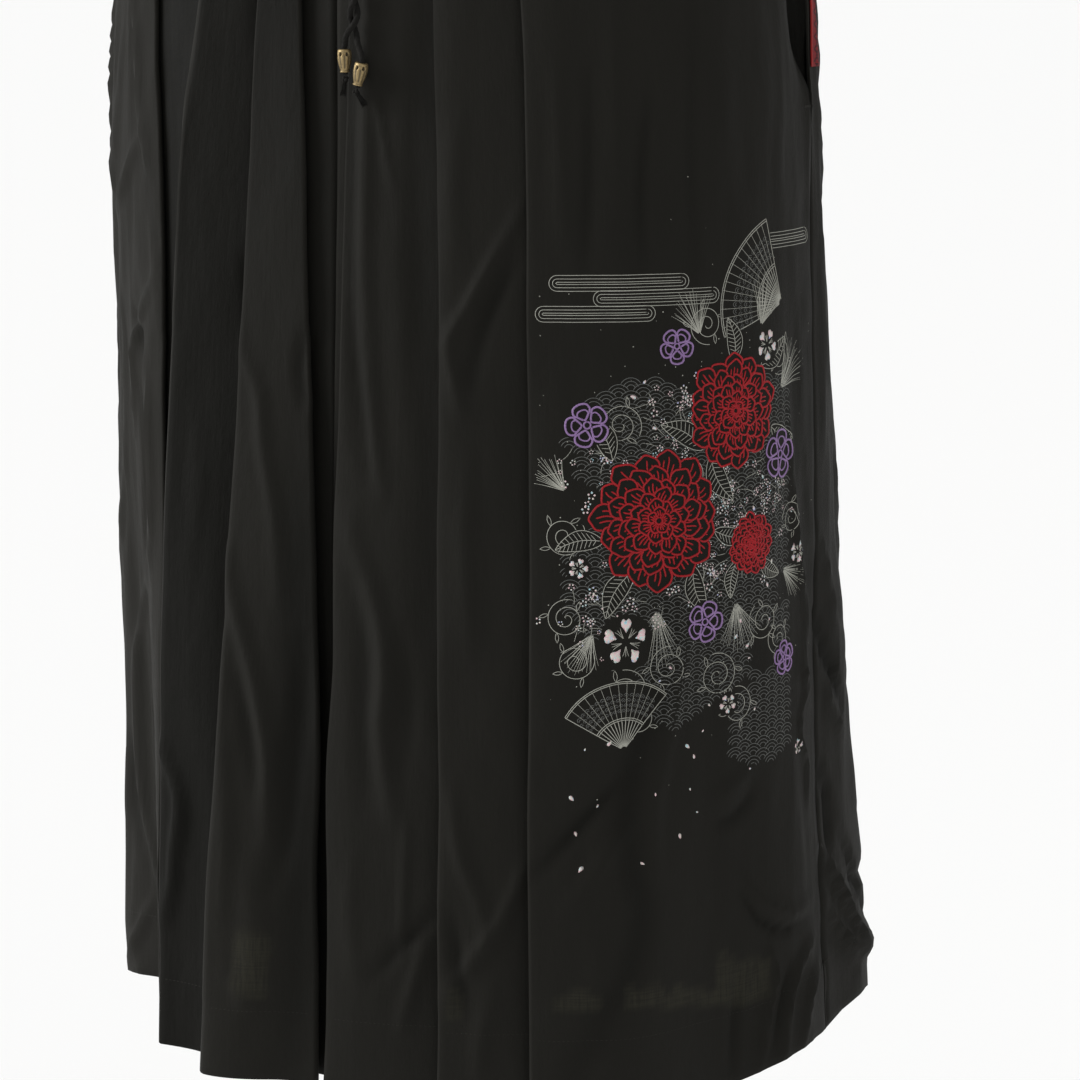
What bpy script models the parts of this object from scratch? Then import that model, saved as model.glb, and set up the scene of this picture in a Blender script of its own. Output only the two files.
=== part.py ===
# A pleated hakama-style skirt, filled out as if worn, with nobody in it.
# Metres, +Z up. The origin is the centre of the waist opening, at the top edge of the waistband.
# The front faces -Y, and the wearer's left side is at +X. Heights are given as a drop below the waist.
import math
from collections import namedtuple

import bpy
from mathutils import Vector

# Driving dimensions
skirt_length = 0.840
band_height = 0.040
band_thickness = 0.003
band_seam_gap = 0.0008
cloth_thickness = 0.0012
seam_gap = 0.0003
slit_end = 0.238
slit_closing = 0.030
slit_width_degrees = 9.0

# Distance between the middles of two layers of a pressed pleat, at the band and at the hem
layer_gap_waist = 0.0017
layer_gap_hem = 0.0032
pleats_open_from = 0.050
pleats_open_by = 0.170
largest_lap_share = 0.44

# The cloth's ring at each height, before any pleat stands out of it
Section = namedtuple("Section", "drop wearer_right wearer_left front back squareness")
sections = (
    Section(0.000, 0.158, 0.158, 0.116, 0.108, 2.00),
    Section(0.050, 0.190, 0.184, 0.129, 0.119, 2.05),
    Section(0.110, 0.223, 0.210, 0.142, 0.128, 2.15),
    Section(0.170, 0.238, 0.221, 0.151, 0.134, 2.20),
    Section(0.350, 0.239, 0.231, 0.165, 0.148, 2.30),
    Section(0.600, 0.233, 0.242, 0.178, 0.168, 2.35),
    Section(0.840, 0.229, 0.258, 0.190, 0.190, 2.35),
)

# Each fold edge. Angles run round the ring from the centre front towards the wearer's left, in degrees,
# at four heights. faces is +1 where the edge looks towards a larger angle and -1 where it looks back.
# lap is how far the cloth runs under the panel on top, stand is how far the edge lifts off the ring,
# and turn is the radius of the edge.
angle_drops = (0.050, 0.300, 0.550, 0.840)
Fold = namedtuple("Fold", "name angles faces lap stand_upper stand_hem turn_upper turn_hem")
front_right_folds = (
    Fold("side_pleat", (-42.0, -32.0, -31.2, -42.0), 1, 0.034, 0.013, 0.007, 0.0016, 0.0020),
    Fold("outer_pleat", (-25.5, -25.8, -27.9, -29.0), -1, 0.028, 0.017, 0.022, 0.0046, 0.0040),
    Fold("middle_pleat", (-14.0, -13.5, -14.3, -16.0), -1, 0.028, 0.007, 0.026, 0.0018, 0.0056),
    Fold("inner_pleat", (-8.6, -3.6, -1.9, -0.5), 1, 0.026, 0.012, 0.015, 0.0018, 0.0026),
)
front_left_folds = (
    Fold("centre_pleat", (0.0, 0.1, 0.1, 0.3), -1, 0.024, 0.008, 0.012, 0.0016, 0.0020),
    Fold("second_pleat", (12.0, 12.8, 13.2, 13.1), -1, 0.026, 0.006, 0.010, 0.0016, 0.0020),
    Fold("third_pleat", (25.5, 26.8, 26.8, 26.4), -1, 0.036, 0.006, 0.010, 0.0016, 0.0020),
)
back_folds = (
    Fold("back_pleat_a", (126.0, 128.0, 129.0, 131.0), 1, 0.036, 0.006, 0.012, 0.0016, 0.0020),
    Fold("back_pleat_b", (149.0, 151.0, 152.0, 154.0), 1, 0.034, 0.007, 0.014, 0.0016, 0.0024),
    Fold("back_pleat_c", (210.0, 209.0, 208.0, 207.0), -1, 0.034, 0.006, 0.012, 0.0016, 0.0024),
    Fold("back_pleat_d", (235.0, 233.0, 231.0, 229.0), -1, 0.036, 0.006, 0.010, 0.0016, 0.0020),
)
centre_seam = (-4.3, -1.8, -0.9, -0.1)
left_side_seam = (100.0, 93.8, 91.3, 88.5)
right_side_seam = (261.0, 266.0, 268.5, 271.0)

# Soft cones of the hanging cloth, which lift every layer of the ring alike
Cone = namedtuple("Cone", "angle_top angle_hem half_width rise_top rise_hem start")
cones = (
    Cone(-74.0, -70.0, 13.0, 0.000, 0.006, 0.40),
    Cone(-50.0, -50.0, 16.0, 0.000, -0.024, 0.30),
    Cone(-22.0, -14.0, 12.0, 0.000, 0.010, 0.35),
    Cone(60.0, 60.0, 22.0, 0.000, -0.014, 0.45),
    Cone(101.0, 104.0, 12.0, 0.000, 0.006, 0.40),
    Cone(140.0, 141.0, 12.0, 0.000, -0.010, 0.30),
    Cone(180.0, 181.0, 20.0, -0.003, -0.020, 0.15),
    Cone(222.0, 219.0, 12.0, 0.000, -0.008, 0.35),
    Cone(257.0, 254.0, 15.0, 0.000, 0.012, 0.30),
)

# Where the hem is drawn up above its level, by creases or by how the cloth hangs
HemLift = namedtuple("HemLift", "angle half_width rise")
hem_lifts = (
    HemLift(-54.0, 20.0, 0.009),
    HemLift(84.0, 22.0, 0.015),
    HemLift(116.0, 14.0, 0.006),
    HemLift(204.0, 24.0, 0.006),
    HemLift(262.0, 18.0, 0.008),
)
hem_lift_from = 0.640

# How finely the panels are divided
row_drops = (0.075, 0.115, 0.160, 0.209, 0.237, 0.287, 0.345, 0.400, 0.465, 0.530, 0.595, 0.660, 0.725, 0.785)
panel_step = 0.030
lap_steps = 2
turn_steps = 4
band_segments = 72

# The drawstring's two ends, the beads on them and the tab at the wearer's left side opening
cord_diameter = 0.0036
cord_exit_drop = 0.020
cord_exit_side = 0.012
cord_stand_off = 0.0140
cord_middle_top = 0.0030
cord_middle_low = 0.0096
cord_pair_radius = 0.0022
cord_joins_from = 0.035
cord_free_from = 0.042
cord_twist_from = 0.070
cord_twist_to = 0.200
cord_turns = 3.0
cord_twist_gain = 1.6
cord_parts_over = 0.016
cord_points = 50
bead_height = 0.0135
bead_top_radius = 0.0043
bead_foot_radius = 0.0027
bead_bore = 0.00215
knot_radius = 0.0025
tail_length = 0.0105
DrawEnd = namedtuple("DrawEnd", "name side across bead_drop lean tail_lean")
draw_ends = (
    DrawEnd("right", -1, 0.0038, 0.2110, 0.02, -0.16),
    DrawEnd("left", 1, 0.0164, 0.2185, -0.24, 0.80),
)
cord_below_bead = 0.0012
tab_top = 0.135
tab_bottom = 0.217
tab_inset = 0.0045
tab_width = 0.0190
tab_thickness = 0.0012


def smooth_step(value):
    value = min(1.0, max(0.0, value))
    return value * value * (3.0 - 2.0 * value)


def smooth_curve(places, values, place):
    # A curve through the values with no corners, level with the first and last of them outside
    if place <= places[0]:
        return values[0]
    if place >= places[-1]:
        return values[-1]
    last = len(places) - 2
    index = max(i for i in range(last + 1) if places[i] <= place)
    span = places[index + 1] - places[index]
    share = (place - places[index]) / span
    slope = (values[index + 1] - values[index]) / span
    enter = slope
    leave = slope
    if index > 0:
        enter = (values[index + 1] - values[index - 1]) / (places[index + 1] - places[index - 1])
    if index < last:
        leave = (values[index + 2] - values[index]) / (places[index + 2] - places[index])
    square = share * share
    cube = square * share
    total = (2 * cube - 3 * square + 1) * values[index] + (3 * square - 2 * cube) * values[index + 1]
    return total + span * ((cube - 2 * square + share) * enter + (cube - square) * leave)


def section_value(column, drop):
    places = [row.drop for row in sections]
    return smooth_curve(places, [getattr(row, column) for row in sections], drop)


def angle_at(angles, drop):
    return smooth_curve(angle_drops, angles, drop)


def ring_point(angle, drop):
    # A rounded oval, with its own half-width on each side and its own depth at the front and back
    turn = math.radians(angle)
    side, ahead = math.sin(turn), math.cos(turn)
    power = 2.0 / section_value("squareness", drop)
    width = section_value("wearer_left" if side > 0 else "wearer_right", drop)
    depth = section_value("front" if ahead > 0 else "back", drop)
    across = width * math.copysign(abs(side) ** power, side)
    along = -depth * math.copysign(abs(ahead) ** power, ahead)
    return Vector((across, along))


def ring_speed(angle, drop):
    # Metres of cloth for each degree
    return (ring_point(angle + 1.0, drop) - ring_point(angle - 1.0, drop)).length / 2.0


def cone_lift(angle, drop):
    lift = 0.0
    for cone in cones:
        share = smooth_step((drop - cone.start) / (skirt_length - cone.start))
        centre = cone.angle_top + (cone.angle_hem - cone.angle_top) * share
        away = abs((angle - centre + 180.0) % 360.0 - 180.0) / cone.half_width
        if away < 1.0:
            rise = cone.rise_top + (cone.rise_hem - cone.rise_top) * share
            lift += rise * 0.5 * (1.0 + math.cos(math.pi * away))
    return lift


def hem_lift(angle, drop):
    lift = 0.0
    for row in hem_lifts:
        away = abs((angle - row.angle + 180.0) % 360.0 - 180.0) / row.half_width
        if away < 1.0:
            lift += row.rise * 0.5 * (1.0 + math.cos(math.pi * away))
    return lift * smooth_step((drop - hem_lift_from) / (skirt_length - hem_lift_from))


def cloth_point(angle, level, drop):
    # A place on the ring, moved out by its level
    ahead = ring_point(angle + 0.5, drop) - ring_point(angle - 0.5, drop)
    outward = Vector((ahead.y, -ahead.x)).normalized()
    flat = ring_point(angle, drop) + outward * (level + cone_lift(angle, drop))
    return Vector((flat.x, flat.y, -drop + hem_lift(angle, drop)))


def layer_gap(drop):
    share = smooth_step((drop - pleats_open_from) / (skirt_length - pleats_open_from))
    return layer_gap_waist + (layer_gap_hem - layer_gap_waist) * share


def opened(upper, hem, pressed, drop):
    # A pleat is pressed flat at the band, opens below it and ends at its size at the hem
    opening = smooth_step((drop - pleats_open_from) / (pleats_open_by - pleats_open_from))
    low = smooth_step((drop - pleats_open_by) / (skirt_length - pleats_open_by))
    size = upper + (hem - upper) * low
    return max(pressed, pressed + (size - pressed) * opening)


def fold_stand(fold, drop):
    return opened(fold.stand_upper, fold.stand_hem, 2.0 * layer_gap(drop), drop)


def fold_turn(fold, drop):
    turn = opened(fold.turn_upper, fold.turn_hem, layer_gap(drop) / 2.0, drop)
    room = (fold_stand(fold, drop) - layer_gap(drop)) / 2.0
    return min(turn, room)


def edge_angles(folds, start, end, drop):
    return [start] + [angle_at(fold.angles, drop) for fold in folds] + [end]


def lap_angle(folds, edges, index, drop):
    # Each lap keeps to its share of the panel that covers it
    fold = folds[index]
    here = edges[index + 1]
    cover = edges[index + 2] - here if fold.faces < 0 else here - edges[index]
    return min(fold.lap / ring_speed(here, drop), largest_lap_share * cover)


def half_turn(angle, level, radius, toward, rising, drop):
    # The rounded edge of a fold, from one layer to the next
    speed = ring_speed(angle, drop)
    points = []
    for step in range(1, turn_steps):
        swing = math.pi * step / turn_steps
        reach = radius * math.sin(swing) / speed
        height = -rising * radius * math.cos(swing)
        points.append((angle + toward * reach, level + height))
    return points


def fold_layers(fold, angle, lap, drop):
    # From the run before the fold to the run after it: a turn, the hidden layer and a turn
    gap = layer_gap(drop)
    stand = fold_stand(fold, drop)
    turn = fold_turn(fold, drop)
    speed = ring_speed(angle, drop)
    toward = -fold.faces
    hidden_end = angle + toward * (lap - gap / 2.0 / speed)
    edge_end = angle + toward * turn / speed
    hidden_turn = half_turn(hidden_end, gap / 2.0, gap / 2.0, toward, 1, drop)
    edge_turn = half_turn(edge_end, stand - turn, turn, -toward, 1, drop)
    middle = []
    for step in range(lap_steps + 1):
        share = step / lap_steps
        level = gap + (stand - 2.0 * turn - gap) * share
        middle.append((hidden_end + (edge_end - hidden_end) * share, level))
    layers = hidden_turn + middle + edge_turn
    return layers if fold.faces < 0 else layers[::-1]


def even_run(first, last, first_level, last_level, steps):
    points = []
    for step in range(steps + 1):
        share = step / steps
        level = first_level + (last_level - first_level) * smooth_step(share)
        points.append((first + (last - first) * share, level))
    return points


def panel_run(folds, edges, laps, index, steps, drop):
    # The stretch between two folds: under or over its neighbour at each end, and sloping between
    begin, end = edges[index], edges[index + 1]
    gap = layer_gap(drop)
    start_zone, start_level, start = begin, 0.0, begin
    if index > 0:
        fold, lap = folds[index - 1], laps[index - 1]
        speed = ring_speed(begin, drop)
        if fold.faces < 0:
            start = begin + fold_turn(fold, drop) / speed
            start_zone = begin + lap
            start_level = fold_stand(fold, drop)
        else:
            start = begin - lap + gap / 2.0 / speed
    finish_zone, finish_level, finish = end, 0.0, end
    if index < len(folds):
        fold, lap = folds[index], laps[index]
        speed = ring_speed(end, drop)
        if fold.faces > 0:
            finish = end - fold_turn(fold, drop) / speed
            finish_zone = end - lap
            finish_level = fold_stand(fold, drop)
        else:
            finish = end + lap - gap / 2.0 / speed
    points = []
    if index > 0:
        points += even_run(start, start_zone, start_level, start_level, lap_steps)[:-1]
    points += even_run(start_zone, finish_zone, start_level, finish_level, steps)
    if index < len(folds):
        points += even_run(finish_zone, finish, finish_level, finish_level, lap_steps)[1:]
    return points


def panel_steps(folds, start, end):
    # The same number of steps at every height, from the widths at the hem
    edges = edge_angles(folds, start, end, skirt_length)
    steps = []
    for begin, finish in zip(edges, edges[1:]):
        width = ring_speed((begin + finish) / 2.0, skirt_length) * (finish - begin)
        steps.append(max(2, round(width / panel_step)))
    return steps


def panel_row(folds, start, end, steps, drop):
    edges = edge_angles(folds, start, end, drop)
    laps = [lap_angle(folds, edges, index, drop) for index in range(len(folds))]
    row = []
    for index in range(len(folds) + 1):
        row += panel_run(folds, edges, laps, index, steps[index], drop)
        if index < len(folds):
            row += fold_layers(folds[index], edges[index + 1], laps[index], drop)
    return [cloth_point(angle, level, drop) for angle, level in row]


def slit_angle(drop):
    return slit_width_degrees * smooth_step((slit_end - drop) / slit_closing)


def seam_edge(angles, side, drop, slit=0.0):
    # The panel ends half a seam gap short of the seam, and further back beside a side opening
    angle = angle_at(angles, drop)
    return angle + side * (seam_gap / 2.0 / ring_speed(angle, drop) + slit)


def front_right_edges(drop):
    start = seam_edge(right_side_seam, 1, drop, slit_angle(drop)) - 360.0
    return start, seam_edge(centre_seam, -1, drop)


def front_left_edges(drop):
    return seam_edge(centre_seam, 1, drop), seam_edge(left_side_seam, -1, drop, slit_angle(drop))


def back_edges(drop):
    return seam_edge(left_side_seam, 1, drop), seam_edge(right_side_seam, -1, drop)


def plain_material(name, colour, roughness, metallic=0.0):
    material = bpy.data.materials.new(name)
    material.use_nodes = True
    shader = material.node_tree.nodes["Principled BSDF"]
    shader.inputs["Base Color"].default_value = (*colour, 1.0)
    shader.inputs["Roughness"].default_value = roughness
    shader.inputs["Metallic"].default_value = metallic
    return material


def add_mesh(name, vertices, faces, material, collection):
    mesh = bpy.data.meshes.new(name)
    mesh.from_pydata([tuple(point) for point in vertices], [], faces)
    mesh.materials.append(material)
    mesh.shade_smooth()
    piece = bpy.data.objects.new(name, mesh)
    collection.objects.link(piece)
    return piece


def lofted_faces(columns, rows, closed=False):
    faces = []
    for row in range(rows - 1):
        for column in range(columns if closed else columns - 1):
            after = (column + 1) % columns
            top, below = row * columns, (row + 1) * columns
            faces.append((top + column, below + column, below + after, top + after))
    return faces


def thicken(piece, thickness):
    solidify = piece.modifiers.new("cloth thickness", "SOLIDIFY")
    solidify.thickness = thickness
    solidify.offset = 0.0
    solidify.use_even_offset = True


def panel_drops():
    return (band_height + band_seam_gap,) + row_drops + (skirt_length,)


def add_panel(name, folds, edges_at, material, collection):
    drops = panel_drops()
    steps = panel_steps(folds, *edges_at(skirt_length))
    rows = [panel_row(folds, *edges_at(drop), steps, drop) for drop in drops]
    vertices = [point for row in rows for point in row]
    piece = add_mesh(name, vertices, lofted_faces(len(rows[0]), len(rows)), material, collection)
    thicken(piece, cloth_thickness)
    return piece


def add_waistband(material, collection):
    # A flat band all round, on the middle of the stack of pleats, with level edges
    middle = layer_gap_waist
    corners = (
        (middle + band_thickness / 2.0, 0.0),
        (middle + band_thickness / 2.0, band_height),
        (middle - band_thickness / 2.0, band_height),
        (middle - band_thickness / 2.0, 0.0),
        (middle + band_thickness / 2.0, 0.0),
    )
    vertices = []
    for level, drop in corners[:-1]:
        for segment in range(band_segments):
            vertices.append(cloth_point(360.0 * segment / band_segments, level, drop))
    faces = lofted_faces(band_segments, len(corners), closed=True)
    total = len(vertices)
    faces = [tuple(corner % total for corner in face) for face in faces]
    return add_mesh("waistband", vertices, faces, material, collection)


def cord_centre(draw_end, drop):
    # The two ends hang as a loose twisted pair, tighter lower down, and part again above the beads
    joined = smooth_step((drop - cord_joins_from) / (cord_twist_from - cord_joins_from))
    parts_to = draw_end.bead_drop - bead_height / 2.0
    parting = smooth_step((drop - parts_to + cord_parts_over) / cord_parts_over)
    middle = cord_middle_top + (cord_middle_low - cord_middle_top) * joined
    radius = cord_exit_side + (cord_pair_radius - cord_exit_side) * joined
    share = min(1.0, max(0.0, (drop - cord_twist_from) / (cord_twist_to - cord_twist_from)))
    swing = 2.0 * math.pi * cord_turns * share ** cord_twist_gain
    across = middle + draw_end.side * radius * math.cos(swing)
    across += (draw_end.across - across) * parting
    level = cord_stand_off + draw_end.side * cord_pair_radius * math.sin(swing)
    front = ring_point(0.0, drop).y
    return Vector((across, front - level, -drop))


def cord_route(draw_end):
    # Straight out of the band, round a soft bend and down; straight again through the bead
    face = cloth_point(0.0, layer_gap_waist + band_thickness / 2.0, cord_exit_drop).y
    side = draw_end.side * cord_exit_side + cord_middle_top
    start = Vector((side, face - 0.0010, -cord_exit_drop))
    bend = Vector((side, face - 0.0062, -cord_exit_drop - 0.0016))
    fall = Vector((side, face - 0.0098, -cord_exit_drop - 0.0078))
    straight_from = draw_end.bead_drop - bead_height / 2.0 - 0.001
    knots = [start, bend, fall]
    for step in range(cord_points):
        drop = cord_free_from + (straight_from - cord_free_from) * step / (cord_points - 1)
        knots.append(cord_centre(draw_end, drop))
    below = draw_end.bead_drop + bead_height / 2.0 + cord_below_bead - straight_from
    last = knots[-1]
    knots.append(last + Vector((draw_end.lean * below / 2.0, 0.0, -below / 2.0)))
    knots.append(last + Vector((draw_end.lean * below, 0.0, -below)))
    lengths = [0.0]
    for one, two in zip(knots, knots[1:]):
        lengths.append(lengths[-1] + (two - one).length)
    route = []
    for step in range(cord_points):
        place = lengths[-1] * step / (cord_points - 1)
        point = [smooth_curve(lengths, [knot[axis] for knot in knots], place) for axis in range(3)]
        route.append(Vector(point))
    return route


def add_cord(draw_end, material, collection):
    curve = bpy.data.curves.new("cord_" + draw_end.name, "CURVE")
    curve.dimensions = "3D"
    curve.bevel_depth = cord_diameter / 2.0
    curve.bevel_resolution = 2
    curve.use_fill_caps = True
    spline = curve.splines.new("POLY")
    route = cord_route(draw_end)
    spline.points.add(len(route) - 1)
    for point, place in zip(spline.points, route):
        point.co = (*place, 1.0)
    curve.materials.append(material)
    piece = bpy.data.objects.new("cord_" + draw_end.name, curve)
    collection.objects.link(piece)
    return route


def add_turned(name, profile, closed, segments, place, direction, material, collection):
    # The profile runs down its outer side and is turned about its own Z, which points up the cord
    edges = [(index, index + 1) for index in range(len(profile) - 1)]
    if closed:
        edges.append((len(profile) - 1, 0))
    mesh = bpy.data.meshes.new(name)
    mesh.from_pydata([(radius, 0.0, height) for radius, height in profile], edges, [])
    mesh.materials.append(material)
    piece = bpy.data.objects.new(name, mesh)
    piece.location = place
    piece.rotation_euler = (-direction).to_track_quat("Z", "Y").to_euler()
    collection.objects.link(piece)
    screw = piece.modifiers.new("turned", "SCREW")
    screw.steps = segments
    screw.render_steps = segments
    screw.use_merge_vertices = True
    screw.merge_threshold = 0.00001
    screw.use_smooth_shade = True
    return piece


def add_bead(draw_end, route, material, collection):
    # A small vase: a rounded shoulder, sides that narrow and a lip at the foot, with a bore through it
    half = bead_height / 2.0
    direction = (route[-1] - route[-3]).normalized()
    share = (draw_end.bead_drop + route[-1].z) / direction.z
    centre = route[-1] + direction * share * -1.0
    profile = (
        (bead_bore, half),
        (bead_top_radius * 0.86, half),
        (bead_top_radius, half * 0.80),
        (bead_top_radius * 0.98, half * 0.30),
        (bead_top_radius * 0.82, -half * 0.35),
        (bead_foot_radius, -half * 0.82),
        (bead_foot_radius * 1.06, -half),
        (bead_bore, -half),
    )
    add_turned("bead_" + draw_end.name, profile, True, 24, centre, direction, material, collection)


def add_tail(draw_end, route, material, collection):
    # The round knot that holds the bead, and the loose end that hangs from it, turned about the knot
    along = (route[-1] - route[-3]).normalized()
    knot = route[-1] + along * (knot_radius + seam_gap)
    direction = Vector((draw_end.tail_lean, 0.0, -1.0)).normalized()
    profile = (
        (0.0, knot_radius),
        (knot_radius * 0.71, knot_radius * 0.71),
        (knot_radius, 0.0),
        (knot_radius * 0.74, -knot_radius * 0.67),
        (knot_radius * 0.58, -tail_length * 0.34),
        (knot_radius * 0.66, -tail_length * 0.62),
        (knot_radius * 0.84, -tail_length * 0.86),
        (knot_radius * 0.46, -tail_length * 0.97),
        (0.0, -tail_length),
    )
    add_turned("tail_" + draw_end.name, profile, False, 12, knot, direction, material, collection)


def back_edge_line(drop):
    # The first stretch of the back panel's wall beside the side opening, between the panel's own rows
    drops = panel_drops()
    index = max(i for i in range(len(drops) - 1) if drops[i] <= drop)
    share = (drop - drops[index]) / (drops[index + 1] - drops[index])
    steps = panel_steps(back_folds, *back_edges(skirt_length))
    above = panel_row(back_folds, *back_edges(drops[index]), steps, drops[index])
    below = panel_row(back_folds, *back_edges(drops[index + 1]), steps, drops[index + 1])
    return [above[i].lerp(below[i], share) for i in range(2)]


def add_side_tab(material, collection):
    # A short tape that lies on the back panel beside the side opening
    level = cloth_thickness / 2.0 + seam_gap + tab_thickness / 2.0
    inner_drops = [drop for drop in row_drops if tab_top < drop < tab_bottom]
    drops = [tab_top] + inner_drops + [tab_bottom]
    vertices = []
    for drop in drops:
        edge, inner = back_edge_line(drop)
        along = (inner - edge).normalized()
        outward = Vector((along.y, -along.x, 0.0)).normalized() * level
        vertices.append(edge + along * tab_inset + outward)
        vertices.append(edge + along * (tab_inset + tab_width) + outward)
    piece = add_mesh("side_tab", vertices, lofted_faces(2, len(drops)), material, collection)
    thicken(piece, tab_thickness)


def clear_scene():
    for old in list(bpy.data.objects):
        bpy.data.objects.remove(old, do_unlink=True)


def build():
    clear_scene()
    collection = bpy.data.collections.new("hakama_skirt")
    bpy.context.scene.collection.children.link(collection)
    crepe = plain_material("black_crepe", (0.014, 0.0135, 0.0125), 0.62)
    cord = plain_material("black_cord", (0.016, 0.015, 0.015), 0.75)
    brass = plain_material("aged_brass", (0.55, 0.40, 0.20), 0.34, 1.0)
    tape = plain_material("red_tape", (0.42, 0.022, 0.035), 0.70)
    add_waistband(crepe, collection)
    add_panel("front_panel_right", front_right_folds, front_right_edges, crepe, collection)
    add_panel("front_panel_left", front_left_folds, front_left_edges, crepe, collection)
    add_panel("back_panel", back_folds, back_edges, crepe, collection)
    add_side_tab(tape, collection)
    for draw_end in draw_ends:
        route = add_cord(draw_end, cord, collection)
        add_bead(draw_end, route, brass, collection)
        add_tail(draw_end, route, cord, collection)


build()
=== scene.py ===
import math
import random

import bpy
import numpy as np
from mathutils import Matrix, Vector


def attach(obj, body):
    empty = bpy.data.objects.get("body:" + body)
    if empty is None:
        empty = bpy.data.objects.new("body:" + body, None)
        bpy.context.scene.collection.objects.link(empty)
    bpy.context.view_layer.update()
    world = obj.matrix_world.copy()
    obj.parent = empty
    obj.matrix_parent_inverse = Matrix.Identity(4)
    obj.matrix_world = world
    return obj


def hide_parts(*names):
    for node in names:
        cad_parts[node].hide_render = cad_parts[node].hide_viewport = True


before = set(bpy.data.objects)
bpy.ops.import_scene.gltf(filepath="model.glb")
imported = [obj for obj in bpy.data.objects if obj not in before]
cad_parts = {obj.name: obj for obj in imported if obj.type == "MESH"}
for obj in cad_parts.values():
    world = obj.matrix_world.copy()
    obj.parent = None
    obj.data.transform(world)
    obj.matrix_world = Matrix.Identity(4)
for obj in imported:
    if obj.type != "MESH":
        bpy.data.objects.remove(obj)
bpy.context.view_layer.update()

print("the packed skirt is loaded")

# Camera: a little above the front and round to the wearer's left
viewpoint = {
    "azimuth": 26.0,
    "distance": 1.805,
    "aside": 0.045,
    "height": -0.16,
    "pitch": 11.6,
    "fieldOfView": 22.1,
    "sensor": 36.0,
    "nearest": 0.05,
}


def newObject(name, data):
    made = bpy.data.objects.new(name, data)
    bpy.context.scene.collection.objects.link(made)
    return made


def addCamera():
    turn = math.radians(viewpoint["azimuth"])
    away = Vector((math.sin(turn), -math.cos(turn), 0.0)) * viewpoint["distance"]
    aside = Vector((math.cos(turn), math.sin(turn), 0.0)) * viewpoint["aside"]
    data = bpy.data.cameras.new("photoCamera")
    data.sensor_width = viewpoint["sensor"]
    data.lens = viewpoint["sensor"] / 2.0 / math.tan(math.radians(viewpoint["fieldOfView"] / 2.0))
    data.clip_start = viewpoint["nearest"]
    camera = newObject("photoCamera", data)
    camera.location = away + aside + Vector((0.0, 0.0, viewpoint["height"]))
    camera.rotation_euler = (math.radians(90.0 - viewpoint["pitch"]), 0.0, turn)
    bpy.context.scene.camera = camera


addCamera()

# The skirt's own sizes in metres. Angles run round from the centre front to the wearer's left.
skirt = {
    "length": 0.840,
    "bandHeight": 0.040,
    "bandThickness": 0.003,
    "bandGap": 0.0008,
    "seamGap": 0.0003,
    "slitEnd": 0.238,
    "slitClosing": 0.060,
    "slitDegrees": 6.5,
    "gapAtWaist": 0.0017,
    "layersAtWaist": 0.0010,
    "gapAtHem": 0.0032,
    "opensFrom": 0.050,
    "opensBy": 0.170,
    "largestLap": 0.44,
    "hemLiftFrom": 0.640,
}

# drop, wearer's right half, wearer's left half, front depth, back depth, squareness
sections = (
    (0.000, 0.158, 0.158, 0.116, 0.108, 2.00),
    (0.050, 0.190, 0.184, 0.129, 0.119, 2.05),
    (0.110, 0.223, 0.210, 0.142, 0.128, 2.15),
    (0.170, 0.238, 0.221, 0.151, 0.134, 2.20),
    (0.350, 0.239, 0.231, 0.165, 0.148, 2.30),
    (0.600, 0.233, 0.242, 0.178, 0.168, 2.35),
    (0.840, 0.229, 0.258, 0.190, 0.190, 2.35),
)
angleDrops = (0.050, 0.300, 0.550, 0.840)

# angles at four heights, side it faces, lap, stand above and at the hem, turn above and at the hem
foldNames = ("angles", "faces", "lap", "standHigh", "standHem", "turnHigh", "turnHem")
frontRightFolds = (
    ((-44.5, -33.8, -33.2, -39.0), 1, 0.034, 0.0045, 0.006, 0.0016, 0.0020),
    ((-21.0, -25.5, -28.1, -29.8), -1, 0.028, 0.017, 0.022, 0.0050, 0.0034),
    ((-12.4, -12.8, -14.0, -16.2), -1, 0.028, 0.0115, 0.026, 0.0018, 0.0056),
    ((-9.0, -4.2, -1.8, -1.0), 1, 0.026, 0.0075, 0.015, 0.0018, 0.0026),
)
frontLeftFolds = (
    ((0.0, 0.1, -0.2, -0.1), -1, 0.024, 0.0050, 0.015, 0.0016, 0.0022),
    ((12.0, 12.8, 13.2, 13.1), -1, 0.026, 0.006, 0.010, 0.0016, 0.0020),
    ((25.5, 26.8, 26.8, 26.4), -1, 0.036, 0.006, 0.010, 0.0016, 0.0020),
)
backFolds = (
    ((126.0, 128.0, 129.0, 131.0), 1, 0.036, 0.006, 0.012, 0.0016, 0.0020),
    ((149.0, 151.0, 152.0, 154.0), 1, 0.034, 0.007, 0.014, 0.0016, 0.0024),
    ((210.0, 209.0, 208.0, 207.0), -1, 0.034, 0.006, 0.012, 0.0016, 0.0024),
    ((235.0, 233.0, 231.0, 229.0), -1, 0.036, 0.006, 0.010, 0.0016, 0.0020),
)
seams = {
    "centre": (-2.6, -0.9, -0.9, -0.6),
    "left": (100.0, 93.8, 91.3, 88.5),
    "right": (261.0, 266.0, 268.5, 271.0),
}

# angle above, angle at the hem, half width, rise above, rise at the hem, where it starts
cones = (
    (-70.0, -70.0, 17.0, 0.000, 0.0065, 0.06),
    (-50.0, -50.0, 16.0, 0.000, -0.024, 0.30),
    (-22.0, -14.0, 12.0, 0.000, 0.010, 0.35),
    (60.0, 60.0, 22.0, 0.000, -0.014, 0.45),
    (101.0, 104.0, 12.0, 0.000, 0.006, 0.40),
    (140.0, 141.0, 12.0, 0.000, -0.010, 0.30),
    (180.0, 181.0, 20.0, -0.003, -0.020, 0.15),
    (222.0, 219.0, 12.0, 0.000, -0.008, 0.35),
    (257.0, 254.0, 15.0, 0.000, 0.012, 0.30),
)

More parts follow.
